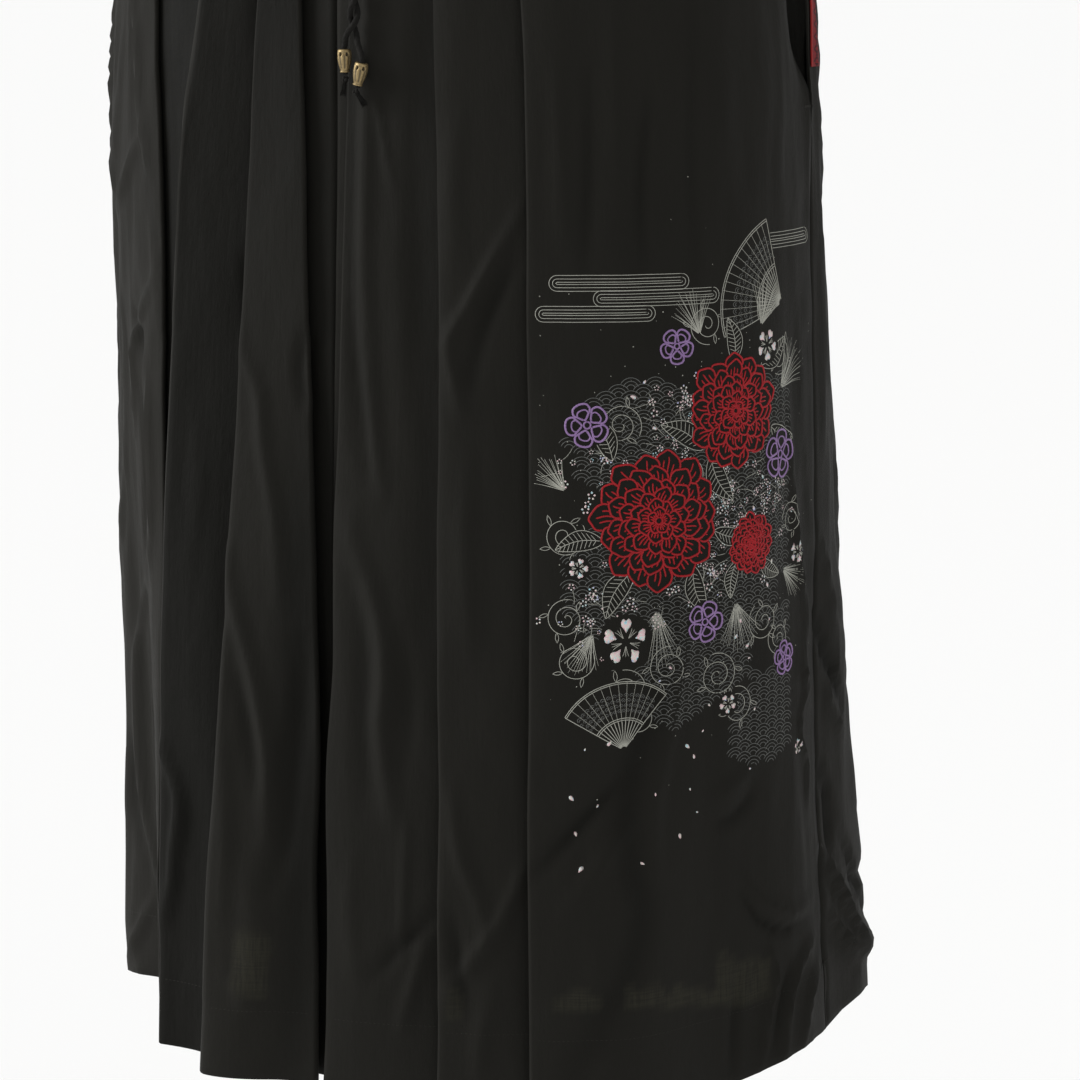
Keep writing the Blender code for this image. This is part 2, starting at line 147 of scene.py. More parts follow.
# angle, half width, rise
hemLifts = (
    (-54.0, 20.0, 0.009),
    (84.0, 22.0, 0.013),
    (103.0, 17.0, 0.019),
    (122.0, 12.0, 0.004),
    (204.0, 24.0, 0.006),
    (262.0, 18.0, 0.008),
)


def smoothStep(value):
    value = np.clip(value, 0.0, 1.0)
    return value * value * (3.0 - 2.0 * value)


def smoothCurve(places, values, place):
    places, values = np.asarray(places, float), np.asarray(values, float)
    place = np.clip(place, places[0], places[-1])
    index = np.clip(np.searchsorted(places, place, side="right") - 1, 0, len(places) - 2)
    slopes = np.diff(values) / np.diff(places)
    bends = np.concatenate([slopes[:1], (values[2:] - values[:-2]) / (places[2:] - places[:-2]), slopes[-1:]])
    span = places[index + 1] - places[index]
    share = (place - places[index]) / span
    square, cube = share ** 2, share ** 3
    level = (2 * cube - 3 * square + 1) * values[index] + (3 * square - 2 * cube) * values[index + 1]
    return level + span * ((cube - 2 * square + share) * bends[index] + (cube - square) * bends[index + 1])


def lengthsAlong(points):
    return np.concatenate([[0.0], np.cumsum(np.linalg.norm(np.diff(points, axis=0), axis=1))])


def curveAlong(lengths, points, places):
    return np.stack([smoothCurve(lengths, points[:, axis], places) for axis in range(points.shape[1])], axis=-1)


def readAlong(lengths, points, places):
    return np.stack([np.interp(places, lengths, points[:, axis]) for axis in range(points.shape[1])], axis=-1)


def roundTurns(count):
    return np.linspace(0.0, 2.0 * np.pi, count, endpoint=False)


def sectionValue(column, drop):
    return smoothCurve([row[0] for row in sections], [row[column] for row in sections], drop)


def ringPoint(angle, drop):
    side, ahead = np.sin(np.radians(angle)), np.cos(np.radians(angle))
    power = 2.0 / sectionValue(5, drop)
    width = np.where(side > 0, sectionValue(2, drop), sectionValue(1, drop))
    depth = np.where(ahead > 0, sectionValue(3, drop), sectionValue(4, drop))
    across = width * np.sign(side) * np.abs(side) ** power
    return across, -depth * np.sign(ahead) * np.abs(ahead) ** power


def ringSpeed(angle, drop):
    aheadX, aheadY = ringPoint(angle + 1.0, drop)
    behindX, behindY = ringPoint(angle - 1.0, drop)
    return np.hypot(aheadX - behindX, aheadY - behindY) / 2.0


def turned(angle, centre):
    return (angle - centre + 180.0) % 360.0 - 180.0


def swell(away, rise):
    return np.where(away < 1.0, rise * 0.5 * (1.0 + np.cos(np.pi * away)), 0.0)


def coneLift(angle, drop):
    lift = 0.0
    for top, hem, halfWidth, riseTop, riseHem, start in cones:
        share = smoothStep((drop - start) / (skirt["length"] - start))
        away = np.abs(turned(angle, top + (hem - top) * share)) / halfWidth
        lift = lift + swell(away, riseTop + (riseHem - riseTop) * share)
    return lift


def hemLift(angle, drop):
    lift = 0.0
    for centre, halfWidth, rise in hemLifts:
        lift = lift + swell(np.abs(turned(angle, centre)) / halfWidth, rise)
    start = skirt["hemLiftFrom"]
    return lift * smoothStep((drop - start) / (skirt["length"] - start))


def clothPoint(angle, level, drop):
    aheadX, aheadY = ringPoint(angle + 0.5, drop)
    behindX, behindY = ringPoint(angle - 0.5, drop)
    alongX, alongY = aheadX - behindX, aheadY - behindY
    size = np.hypot(alongX, alongY)
    total = level + coneLift(angle, drop)
    x, y = ringPoint(angle, drop)
    z = hemLift(angle, drop) - drop
    return np.stack(np.broadcast_arrays(x + alongY / size * total, y - alongX / size * total, z), axis=-1)


# The drawstring's two ends come first: they hang as a loose twisted pair with a bead on each
drawstring = {
    "diameter": 0.0036,
    "exitDrop": 0.020,
    "exitSide": 0.012,
    "exitPath": ((0.0010, 0.0), (0.0062, 0.0016), (0.0098, 0.0078)),  # how far out of the band and how far down
    "standOff": 0.0140,
    "middleTop": 0.0030,
    "middleLow": 0.0096,
    "pairRadius": 0.0022,
    "joinsFrom": 0.035,
    "freeFrom": 0.042,
    "twistFrom": 0.070,
    "twistTo": 0.200,
    "turns": 3.0,
    "twistGain": 1.6,
    "partsOver": 0.016,
    "points": 50,
    "straightAbove": 0.001,
    "belowBead": 0.0012,
    "beadHeight": 0.0135,
    "beadTop": 0.0043,
    "beadFoot": 0.0027,
    "beadBore": 0.00215,
    "knotRadius": 0.0025,
    "tailLength": 0.0105,
}

# side, place across, bead's drop, lean below the bead, lean of the tail
drawEnds = {
    "right": (-1, 0.0038, 0.2110, 0.02, -0.16),
    "left": (1, 0.0164, 0.2185, -0.24, 0.80),
}


def cordCentre(end, drop):
    side, endAcross, beadDrop = end[0], end[1], end[2]
    size = drawstring
    joined = smoothStep((drop - size["joinsFrom"]) / (size["twistFrom"] - size["joinsFrom"]))
    parting = smoothStep((drop - beadDrop + size["beadHeight"] / 2.0 + size["partsOver"]) / size["partsOver"])
    middle = size["middleTop"] + (size["middleLow"] - size["middleTop"]) * joined
    radius = size["exitSide"] + (size["pairRadius"] - size["exitSide"]) * joined
    share = np.clip((drop - size["twistFrom"]) / (size["twistTo"] - size["twistFrom"]), 0.0, 1.0)
    swing = 2.0 * np.pi * size["turns"] * share ** size["twistGain"]
    across = middle + side * radius * np.cos(swing)
    across += (endAcross - across) * parting
    level = size["standOff"] + side * size["pairRadius"] * np.sin(swing)
    return np.array([across, ringPoint(0.0, drop)[1] - level, -drop])


def cordRoute(end):
    size = drawstring
    face = clothPoint(0.0, skirt["gapAtWaist"] + skirt["bandThickness"] / 2.0, size["exitDrop"])[1]
    side = end[0] * size["exitSide"] + size["middleTop"]
    knots = [np.array([side, face - out, -size["exitDrop"] - down]) for out, down in size["exitPath"]]
    straightFrom = end[2] - size["beadHeight"] / 2.0 - size["straightAbove"]
    knots += [cordCentre(end, drop) for drop in np.linspace(size["freeFrom"], straightFrom, size["points"])]
    below = end[2] + size["beadHeight"] / 2.0 + size["belowBead"] - straightFrom
    last = knots[-1]
    knots += [last + np.array([end[3] * below * share, 0.0, -below * share]) for share in (0.5, 1.0)]
    knots = np.array(knots)
    lengths = lengthsAlong(knots)
    return curveAlong(lengths, knots, np.linspace(0.0, lengths[-1], size["points"]))


def unit(vectors):
    return vectors / np.maximum(np.linalg.norm(vectors, axis=-1, keepdims=True), 1e-12)


def resample(points, step):
    # An open line through the same places, with even steps and no corners
    lengths = lengthsAlong(points)
    count = max(2, int(math.ceil(lengths[-1] / step)) + 1)
    return curveAlong(lengths, points, np.linspace(0.0, lengths[-1], count))


def newPiece(name, points, faces, material, stands=(), uv=None):
    mesh = bpy.data.meshes.new(name)
    polygons = faces.tolist() if isinstance(faces, np.ndarray) else faces
    mesh.from_pydata(np.asarray(points, float).tolist(), [], polygons)
    if uv is not None:
        layer = mesh.uv_layers.new(name="cloth")
        corners = np.empty(len(mesh.loops), dtype=np.int32)
        mesh.loops.foreach_get("vertex_index", corners)
        layer.data.foreach_set("uv", np.asarray(uv, np.float32)[corners].ravel())
    mesh.shade_smooth()
    mesh.materials.append(material)
    piece = newObject(name, mesh)
    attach(piece, "root")
    if stands:
        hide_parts(*stands)
    return piece


def addValues(piece, name, values):
    attribute = piece.data.attributes.new(name, "FLOAT", "POINT")
    attribute.data.foreach_set("value", np.asarray(values, np.float32).ravel())


def thicken(piece, name, thickness):
    solidify = piece.modifiers.new(name, "SOLIDIFY")
    solidify.thickness = thickness
    solidify.offset = 0.0


def steadyFrames(route):
    # Two directions across a line, carried along it without twisting
    along = unit(np.gradient(route, axis=0))
    across = np.empty_like(along)
    last = np.array((0.0, -1.0, 0.0))
    for index, direction in enumerate(along):
        last = last - direction * np.dot(last, direction)
        last = last / np.linalg.norm(last)
        across[index] = last
    return across, np.cross(along, across)


def gridFaces(rows, columns, closed=False, looped=False):
    # Quads of a grid of points, written row by row; closed joins each row's ends, looped the last row to the first
    row = np.arange(rows if looped else rows - 1)[:, None]
    column = np.arange(columns if closed else columns - 1)[None, :]
    after = (column + 1) % columns
    top, below = row * columns, (row + 1) % rows * columns
    faces = np.stack(np.broadcast_arrays(top + column, top + after, below + after, below + column), axis=-1)
    return faces.reshape(-1, 4)


def addTube(name, route, rings, material, stands=()):
    # rings is rows x sides x 3: places round the route, with a closing place at each end
    rows, sides = rings.shape[:2]
    points = np.concatenate([rings.reshape(-1, 3), route[:1], route[-1:]])
    faces = gridFaces(rows, sides, closed=True).tolist()
    first, last = rows * sides, rows * sides + 1
    for side in range(sides):
        after = (side + 1) % sides
        faces.append([after, side, first])
        faces.append([(rows - 1) * sides + side, (rows - 1) * sides + after, last])
    return newPiece(name, points, faces, material, stands)


# Shader maths: a value on its way through the nodes
class Flow:
    def __init__(self, board, socket):
        self.board = board
        self.socket = socket

    def math(self, operation, *values):
        inputs = dict(enumerate(values))
        return self.board.node("ShaderNodeMath", {"operation": operation}, inputs)

    def __add__(self, other):
        return self.math("ADD", self, other)

    def __radd__(self, other):
        return self.math("ADD", other, self)

    def __sub__(self, other):
        return self.math("SUBTRACT", self, other)

    def __rsub__(self, other):
        return self.math("SUBTRACT", other, self)

    def __mul__(self, other):
        return self.math("MULTIPLY", self, other)

    def __rmul__(self, other):
        return self.math("MULTIPLY", other, self)

    def __truediv__(self, other):
        return self.math("DIVIDE", self, other)

    def __pow__(self, other):
        return self.math("POWER", self, other)

    def clamped(self):
        return self.board.node("ShaderNodeClamp", {}, {0: self})

    def sine(self):
        return self.math("SINE", self)

    def size(self):
        return self.math("ABSOLUTE", self)

    def fraction(self):
        return self.math("FRACT", self)


class Board:
    # One material, with its nodes made by one method
    def __init__(self, name):
        self.material = bpy.data.materials.new(name)
        self.material.use_nodes = True
        self.tree = self.material.node_tree
        self.shader = self.tree.nodes["Principled BSDF"]

    def node(self, kind, settings, inputs, output=0):
        made = self.tree.nodes.new(kind)
        for name, value in settings.items():
            if name == "stops":
                ramp = made.color_ramp
                while len(ramp.elements) < len(value):
                    ramp.elements.new(0.5)
                for element, (place, colour) in zip(ramp.elements, value):
                    element.position = place
                    element.color = (*colour, 1.0)
            else:
                setattr(made, name, value)
        for key, value in inputs.items():
            self.feed(made.inputs[key], value)
        return Flow(self, made.outputs[output])

    def feed(self, socket, value):
        if isinstance(value, Flow):
            self.tree.links.new(value.socket, socket)
        elif isinstance(value, tuple) and len(value) == 3 and socket.type == "RGBA":
            socket.default_value = (*value, 1.0)
        else:
            socket.default_value = value

    def finish(self, **inputs):
        for name, value in inputs.items():
            self.feed(self.shader.inputs[name.replace("_", " ")], value)
        return self.material

    def cloth(self):
        # Metres across and down the cloth
        spot = self.node("ShaderNodeUVMap", {"uv_map": "cloth"}, {})
        across = self.node("ShaderNodeSeparateXYZ", {}, {0: spot}, 0)
        down = self.node("ShaderNodeSeparateXYZ", {}, {0: spot}, 1)
        return across, down

    def place(self):
        return self.node("ShaderNodeTexCoord", {}, {}, "Object")

    def point(self, x, y, z=0.0):
        return self.node("ShaderNodeCombineXYZ", {}, {0: x, 1: y, 2: z})

    def noise(self, vector, scale, detail=2.0, rough=0.5):
        inputs = {"Vector": vector, "Scale": scale, "Detail": detail, "Roughness": rough}
        return self.node("ShaderNodeTexNoise", {}, inputs)

    def stored(self, name):
        return self.node("ShaderNodeAttribute", {"attribute_name": name}, {}, "Fac")

    def mix(self, share, one, two):
        return self.node("ShaderNodeMix", {"data_type": "RGBA"}, {0: share, 6: one, 7: two}, 2)

    def step(self, value, low, high):
        inputs = {"Value": value, "From Min": low, "From Max": high}
        return self.node("ShaderNodeMapRange", {"interpolation_type": "SMOOTHSTEP"}, inputs)

    def bump(self, height, distance, strength=1.0):
        inputs = {"Height": height, "Distance": distance, "Strength": strength}
        return self.node("ShaderNodeBump", {}, inputs)


crepeFinish = {
    "dark": (0.0080, 0.0076, 0.0062),
    "light": (0.0128, 0.0121, 0.0098),
    # painted shade: the colour that shaded troughs and pleat faces are darkened towards
    "hollow": (0.0022, 0.0022, 0.0014),
    "sheer": (0.0250, 0.0240, 0.0165),
    "warpPitch": 0.00042,
    "weftPitch": 0.00050,
    "bumpHeight": 0.0007,
    "specular": 0.06,
    "sheen": 0.014,
    "sheenRoughness": 0.6,
}


def crepeMaterial():
    board = Board("blackCrepe")
    across, down = board.cloth()
    wide = board.noise(board.point(across, down * 0.4), 14.0, 3.0)
    streaks = board.noise(board.point(across, down * 0.05), 420.0, 3.0, 0.6)
    crinkle = board.noise(board.point(across, down * 0.35), 950.0, 2.0, 0.6)
    ripple = board.noise(board.point(across, down * 0.5), 130.0, 3.0, 0.55)
    warp = (across * (2.0 * math.pi / crepeFinish["warpPitch"])).sine()
    weft = (down * (2.0 * math.pi / crepeFinish["weftPitch"])).sine()
    grid = warp * weft
    shade = (wide * 0.55 + streaks * 0.45 + crinkle * 0.30 - 0.15).clamped()
    base = board.mix(shade, crepeFinish["dark"], crepeFinish["light"])
    hollow = board.stored("hollow")
    # painted shade: the stored values darken the cloth in crease troughs, pucker troughs and over shaded pleat faces
    base = board.mix((hollow * (0.85 + 0.3 * streaks)).clamped(), base, crepeFinish["hollow"])
    # one layer with light behind it shows its uneven threads both ways
    sheer = board.stored("sheer")
    upright = board.noise(board.point(across, down * 0.035), 1050.0, 2.0, 0.7)
    level = board.noise(board.point(across * 0.035, down), 950.0, 2.0, 0.7)
    threads = board.step(upright * 0.5 + level * 0.5, 0.38, 0.60)
    base = board.mix((sheer * (0.22 + 0.78 * threads)).clamped(), base, crepeFinish["sheer"])
    height = ripple * 0.9 + streaks * 0.30 + crinkle * 0.22 + grid * 0.05
    return board.finish(
        Base_Color=base,
        Roughness=(0.56 + 0.14 * streaks).clamped(),
        Normal=board.bump(height, crepeFinish["bumpHeight"], 0.8),
        Specular_IOR_Level=crepeFinish["specular"],
        Sheen_Weight=crepeFinish["sheen"],
        Sheen_Roughness=crepeFinish["sheenRoughness"],
    )


threadFinishes = {
    "blackCord": {
        "dark": (0.0035, 0.0033, 0.0030), "light": (0.0150, 0.0142, 0.0125),
        "grain": 1900.0, "specular": 0.08, "roughness": 0.8,
    },
    "sewingThread": {
        "dark": (0.010, 0.0095, 0.008), "light": (0.030, 0.028, 0.023),
        "grain": 2400.0, "specular": 0.15, "roughness": 0.6,
    },
    "redThread": {
        "dark": (0.150, 0.003, 0.006), "light": (0.440, 0.010, 0.016),
        "grain": 1300.0, "specular": 0.22, "roughness": 0.5,
    },
    "purpleThread": {
        "dark": (0.130, 0.070, 0.180), "light": (0.350, 0.225, 0.440),
        "grain": 1300.0, "specular": 0.22, "roughness": 0.5,
    },
}


def threadMaterial(name):
    finish = threadFinishes[name]
    board = Board(name)
    spot = board.place()
    fine = board.noise(spot, finish["grain"], 3.0, 0.6)
    broad = board.noise(spot, 90.0, 2.0)
    shade = (fine * 0.7 + broad * 0.5 - 0.1).clamped()
    return board.finish(
        Base_Color=board.mix(shade, finish["dark"], finish["light"]),
        Roughness=(finish["roughness"] - 0.1 + 0.2 * fine).clamped(),
        Normal=board.bump(fine, 0.0002, 0.8),
        Specular_IOR_Level=finish["specular"],
        Sheen_Weight=0.02,
    )


brassFinish = {
    "dull": (0.110, 0.072, 0.028),
    "bright": (0.58, 0.45, 0.235),
    "grime": (0.020, 0.015, 0.008),
    "roughness": 0.36,
    "bumpHeight": 0.00022,
}


def brassMaterial():
    board = Board("agedBrass")
    spot = board.place()
    fine = board.noise(spot, 2600.0, 4.0, 0.6)
    broad = board.noise(spot, 420.0, 3.0)
    # the stored mask darkens the brass: grime and painted shade in the rib grooves and at the ledges, painted shade
    # in the dimples and inside the bore
    grime = board.stored("grime")
    worn = (broad * 0.8 + fine * 0.35 - 0.2).clamped()
    bright = board.mix(worn, brassFinish["dull"], brassFinish["bright"])
    base = board.mix((grime * (0.75 + 0.5 * fine)).clamped(), bright, brassFinish["grime"])
    return board.finish(
        Base_Color=base,
        Metallic=(0.9 - 0.75 * grime).clamped(),
        Roughness=(brassFinish["roughness"] + 0.22 * fine + 0.30 * grime).clamped(),
        Normal=board.bump(fine * 0.5 + broad, brassFinish["bumpHeight"], 0.9),
    )


crepe = crepeMaterial()
cordThread = threadMaterial("blackCord")
brass = brassMaterial()
print("crepe, cord and brass are mixed")

# Each cord is a small round braid: strands that wind both ways over and under each other
strands = {
    "count": 4,
    "sides": 32,
    "pitch": 0.0125,
    "depth": 0.20,
    "step": 0.00062,
    "fullness": 0.8,
    "crossing": 0.9,
}


def addCord(name, end):
    route = cordRoute(end)
    fine = resample(route, strands["step"])
    across, other = steadyFrames(fine)
    turn = roundTurns(strands["sides"])[None, :]
    lay = 2.0 * np.pi * lengthsAlong(fine)[:, None] / strands["pitch"]
    half, fullness = strands["count"] / 2.0, strands["fullness"]
    one, two = np.abs(np.cos(half * (turn - lay))) ** fullness, np.abs(np.cos(half * (turn + lay))) ** fullness
    over = smoothStep(0.5 + strands["crossing"] * np.sin(half * turn) * np.sin(half * lay))
    lobes = one * over + two * (1.0 - over)
    radius = drawstring["diameter"] / 2.0 * (1.02 - strands["depth"] + strands["depth"] * lobes)
    away = across[:, None] * np.cos(turn)[..., None] + other[:, None] * np.sin(turn)[..., None]
    rings = fine[:, None] + away * radius[..., None]
    return route, addTube("braidedCord." + name, fine, rings, cordThread, ["cord_" + name])


def turnedFrame(direction):
    # Up the cord, and two directions across it
    up = -unit(direction)
    side = unit(np.cross(np.array([0.0, 1.0, 0.0]), up))
    return side, np.cross(up, side), up


beadShape = {
    "sides": 72,
    "profileStep": 0.00022,
    "ribs": 9,
    "ribDepth": 0.055,
    "ribsBelow": 0.62,
    "ribsAbove": 0.78,
    "holes": 6,
    "holeRadius": 0.00125,
    "holeDepth": 0.0017,
    "holeHeight": 0.56,
    "holeWidening": 1.25,
    "ledges": ((0.74, 0.05), (-0.84, 0.06)),
}

# The bead's outline from its upper hole down: a size, a share of it, and the height by half heights
beadProfile = (
    ("beadBore", 1.0, 0.97), ("beadTop", 0.66, 1.0), ("beadTop", 0.80, 0.98), ("beadTop", 0.90, 0.90),
    ("beadTop", 0.93, 0.80), ("beadTop", 0.95, 0.72), ("beadTop", 0.99, 0.60), ("beadTop", 1.00, 0.42),
    ("beadTop", 0.97, 0.10), ("beadTop", 0.89, -0.20), ("beadTop", 0.77, -0.50),
    ("beadFoot", 1.04, -0.74), ("beadFoot", 0.96, -0.84), ("beadFoot", 1.12, -0.93),
    ("beadFoot", 1.06, -0.99), ("beadBore", 1.0, -1.0),
)


def addBead(name, end, route):
    size = drawstring
    half, top, bore = size["beadHeight"] / 2.0, size["beadTop"], size["beadBore"]
    direction = unit(route[-1] - route[-3])
    centre = route[-1] - direction * (end[2] + route[-1][2]) / direction[2]
    side, front, up = turnedFrame(direction)
    knots = np.array([(size[part] * wide, half * high) for part, wide, high in beadProfile])
    outer = resample(knots, beadShape["profileStep"])
    inner = np.array([(bore, height) for height in np.linspace(-half * 0.9, half * 0.9, 6)])
    profile = np.concatenate([outer, inner])
    turn = roundTurns(beadShape["sides"])
    radius = np.repeat(profile[:, :1], len(turn), axis=1)
    height = np.repeat(profile[:, 1:], len(turn), axis=1)
    body = smoothStep((half * beadShape["ribsBelow"] - height) / (half * 0.25))
    body = body * smoothStep((height + half * beadShape["ribsAbove"]) / (half * 0.2))
    outside = (radius > bore * 1.15).astype(float)
    groove = (0.5 - 0.5 * np.cos(beadShape["ribs"] * turn))[None, :] ** 2
    # grime and painted shade in the rib grooves; below, painted shade in the dimples and the bore, grime and painted
    # shade at the ledges
    grime = 0.80 * body * outside * groove
    radius = radius * (1.0 - beadShape["ribDepth"] * body * outside * groove)
    for hole in range(beadShape["holes"]):
        centreTurn = 2.0 * np.pi * (hole + 0.40) / beadShape["holes"]
        aside = top * ((turn[None, :] - centreTurn + np.pi) % (2.0 * np.pi) - np.pi)
        away = np.hypot(aside * beadShape["holeWidening"], height - half * beadShape["holeHeight"])
        dent = (1.0 - smoothStep((away / beadShape["holeRadius"] - 0.55) * 1.8)) * outside
        radius = radius - beadShape["holeDepth"] * dent
        grime = np.maximum(grime, np.clip(dent * 1.4, 0.0, 1.0))
    ledges = sum(np.exp(-((height - half * at) / (half * wide)) ** 2) for at, wide in beadShape["ledges"])
    grime = np.clip(np.maximum(grime, 0.35 * ledges * outside), 0.0, 1.0)
    grime = np.maximum(grime, 1.0 - outside)
    points = centre + radius[..., None] * (side * np.cos(turn)[None, :, None] + front * np.sin(turn)[None, :, None])
    points = points + height[..., None] * up
    faces = gridFaces(*radius.shape, closed=True, looped=True)[:, ::-1]
    bead = newPiece("brassBead." + name, points.reshape(-1, 3), faces, brass, ["bead_" + name])
    addValues(bead, "grime", grime)
    return bead


tailShape = {
    "tube": 0.00092,
    "loop": 0.00145,
    "loopPoints": 64,
    "strandDepth": 0.12,
    "fibres": 110,
    "fibre": 0.00016,
    "fibreSteps": 6,
    "spread": 0.55,
    "curl": 0.00045,
    "corners": (0.3, 2.4, 4.5),
}


def knotRings(knot, side, front, up):
    # A small overhand knot of cord
    swing = roundTurns(tailShape["loopPoints"])
    flat = np.stack([
        (np.sin(swing) + 2.0 * np.sin(2.0 * swing)) / 3.0, (np.cos(swing) - 2.0 * np.cos(2.0 * swing)) / 3.0,
        -np.sin(3.0 * swing) * 0.75,
    ], axis=-1) * tailShape["loop"]
    path = knot + flat[:, :1] * side + flat[:, 1:2] * up + flat[:, 2:] * front
    ahead = unit(np.roll(path, -1, axis=0) - np.roll(path, 1, axis=0))
    away = unit(path - knot + 1e-6 * front)
    away = unit(away - ahead * np.sum(away * ahead, axis=1, keepdims=True))
    other = np.cross(ahead, away)
    turn = roundTurns(12)
    lobes = 1.0 - tailShape["strandDepth"] * np.abs(np.sin(1.5 * (turn[None, :] - 7.0 * swing[:, None])))
    return path[:, None] + tailShape["tube"] * lobes[..., None] * (
        away[:, None] * np.cos(turn)[None, :, None] + other[:, None] * np.sin(turn)[None, :, None])


def addTail(name, end, route, seed):
    # The knot, with the cord's loose fibres below it
    radius, last = drawstring["knotRadius"], tailShape["fibreSteps"]
    knot = route[-1] + unit(route[-1] - route[-3]) * (radius + skirt["seamGap"])
    direction = unit(np.array([end[4], 0.0, -1.0]))
    side, front, up = turnedFrame(direction)
    rings = knotRings(knot, side, front, up)
    faces = gridFaces(*rings.shape[:2], closed=True, looped=True).tolist()
    points = [rings.reshape(-1, 3)]
    count = len(points[0])
    draw = random.Random(seed)
    length = drawstring["tailLength"] - radius
    for _ in range(tailShape["fibres"]):
        swerve = draw.uniform(0.0, 2.0 * math.pi)
        spread = tailShape["spread"] * draw.random() ** 0.6
        reach = length * draw.uniform(0.62, 1.04)
        wave = draw.uniform(-1.0, 1.0)
        thin = tailShape["fibre"] * draw.uniform(0.7, 1.25)
        for step in range(last + 1):
            share = step / last
            out = 0.0009 * math.sqrt(spread) + spread * reach * share ** 1.3 * 0.42
            curl = tailShape["curl"] * wave * math.sin(share * 5.0 + swerve)
            place = knot + direction * (radius * 0.4 + (reach + radius * 0.5) * share)
            place = place + side * (out * math.cos(swerve) + curl) + front * (out * math.sin(swerve) + curl * 0.6)
            thick = thin * (1.0 - 0.55 * step / last)
            points.append(np.array([
                place + thick * (side * math.cos(turn) + front * math.sin(turn)) for turn in tailShape["corners"]]))
        for step in range(last):
            for corner in range(3):
                after = (corner + 1) % 3
                one, two = count + step * 3, count + (step + 1) * 3
                faces.append([one + corner, two + corner, two + after, one + after])
        tip = count + last * 3
        faces += [[count, count + 1, count + 2], [tip + 2, tip + 1, tip]]
        count = tip + 3
    return newPiece(
        "frayedTail." + name, np.concatenate(points), faces, cordThread, ["tail_" + name])


for seed, (name, end) in enumerate(drawEnds.items()):
    route, cord = addCord(name, end)
    bead = addBead(name, end, route)
    tail = addTail(name, end, route, 11 + seed)
print("the two drawstring ends hang with their beads and tails")
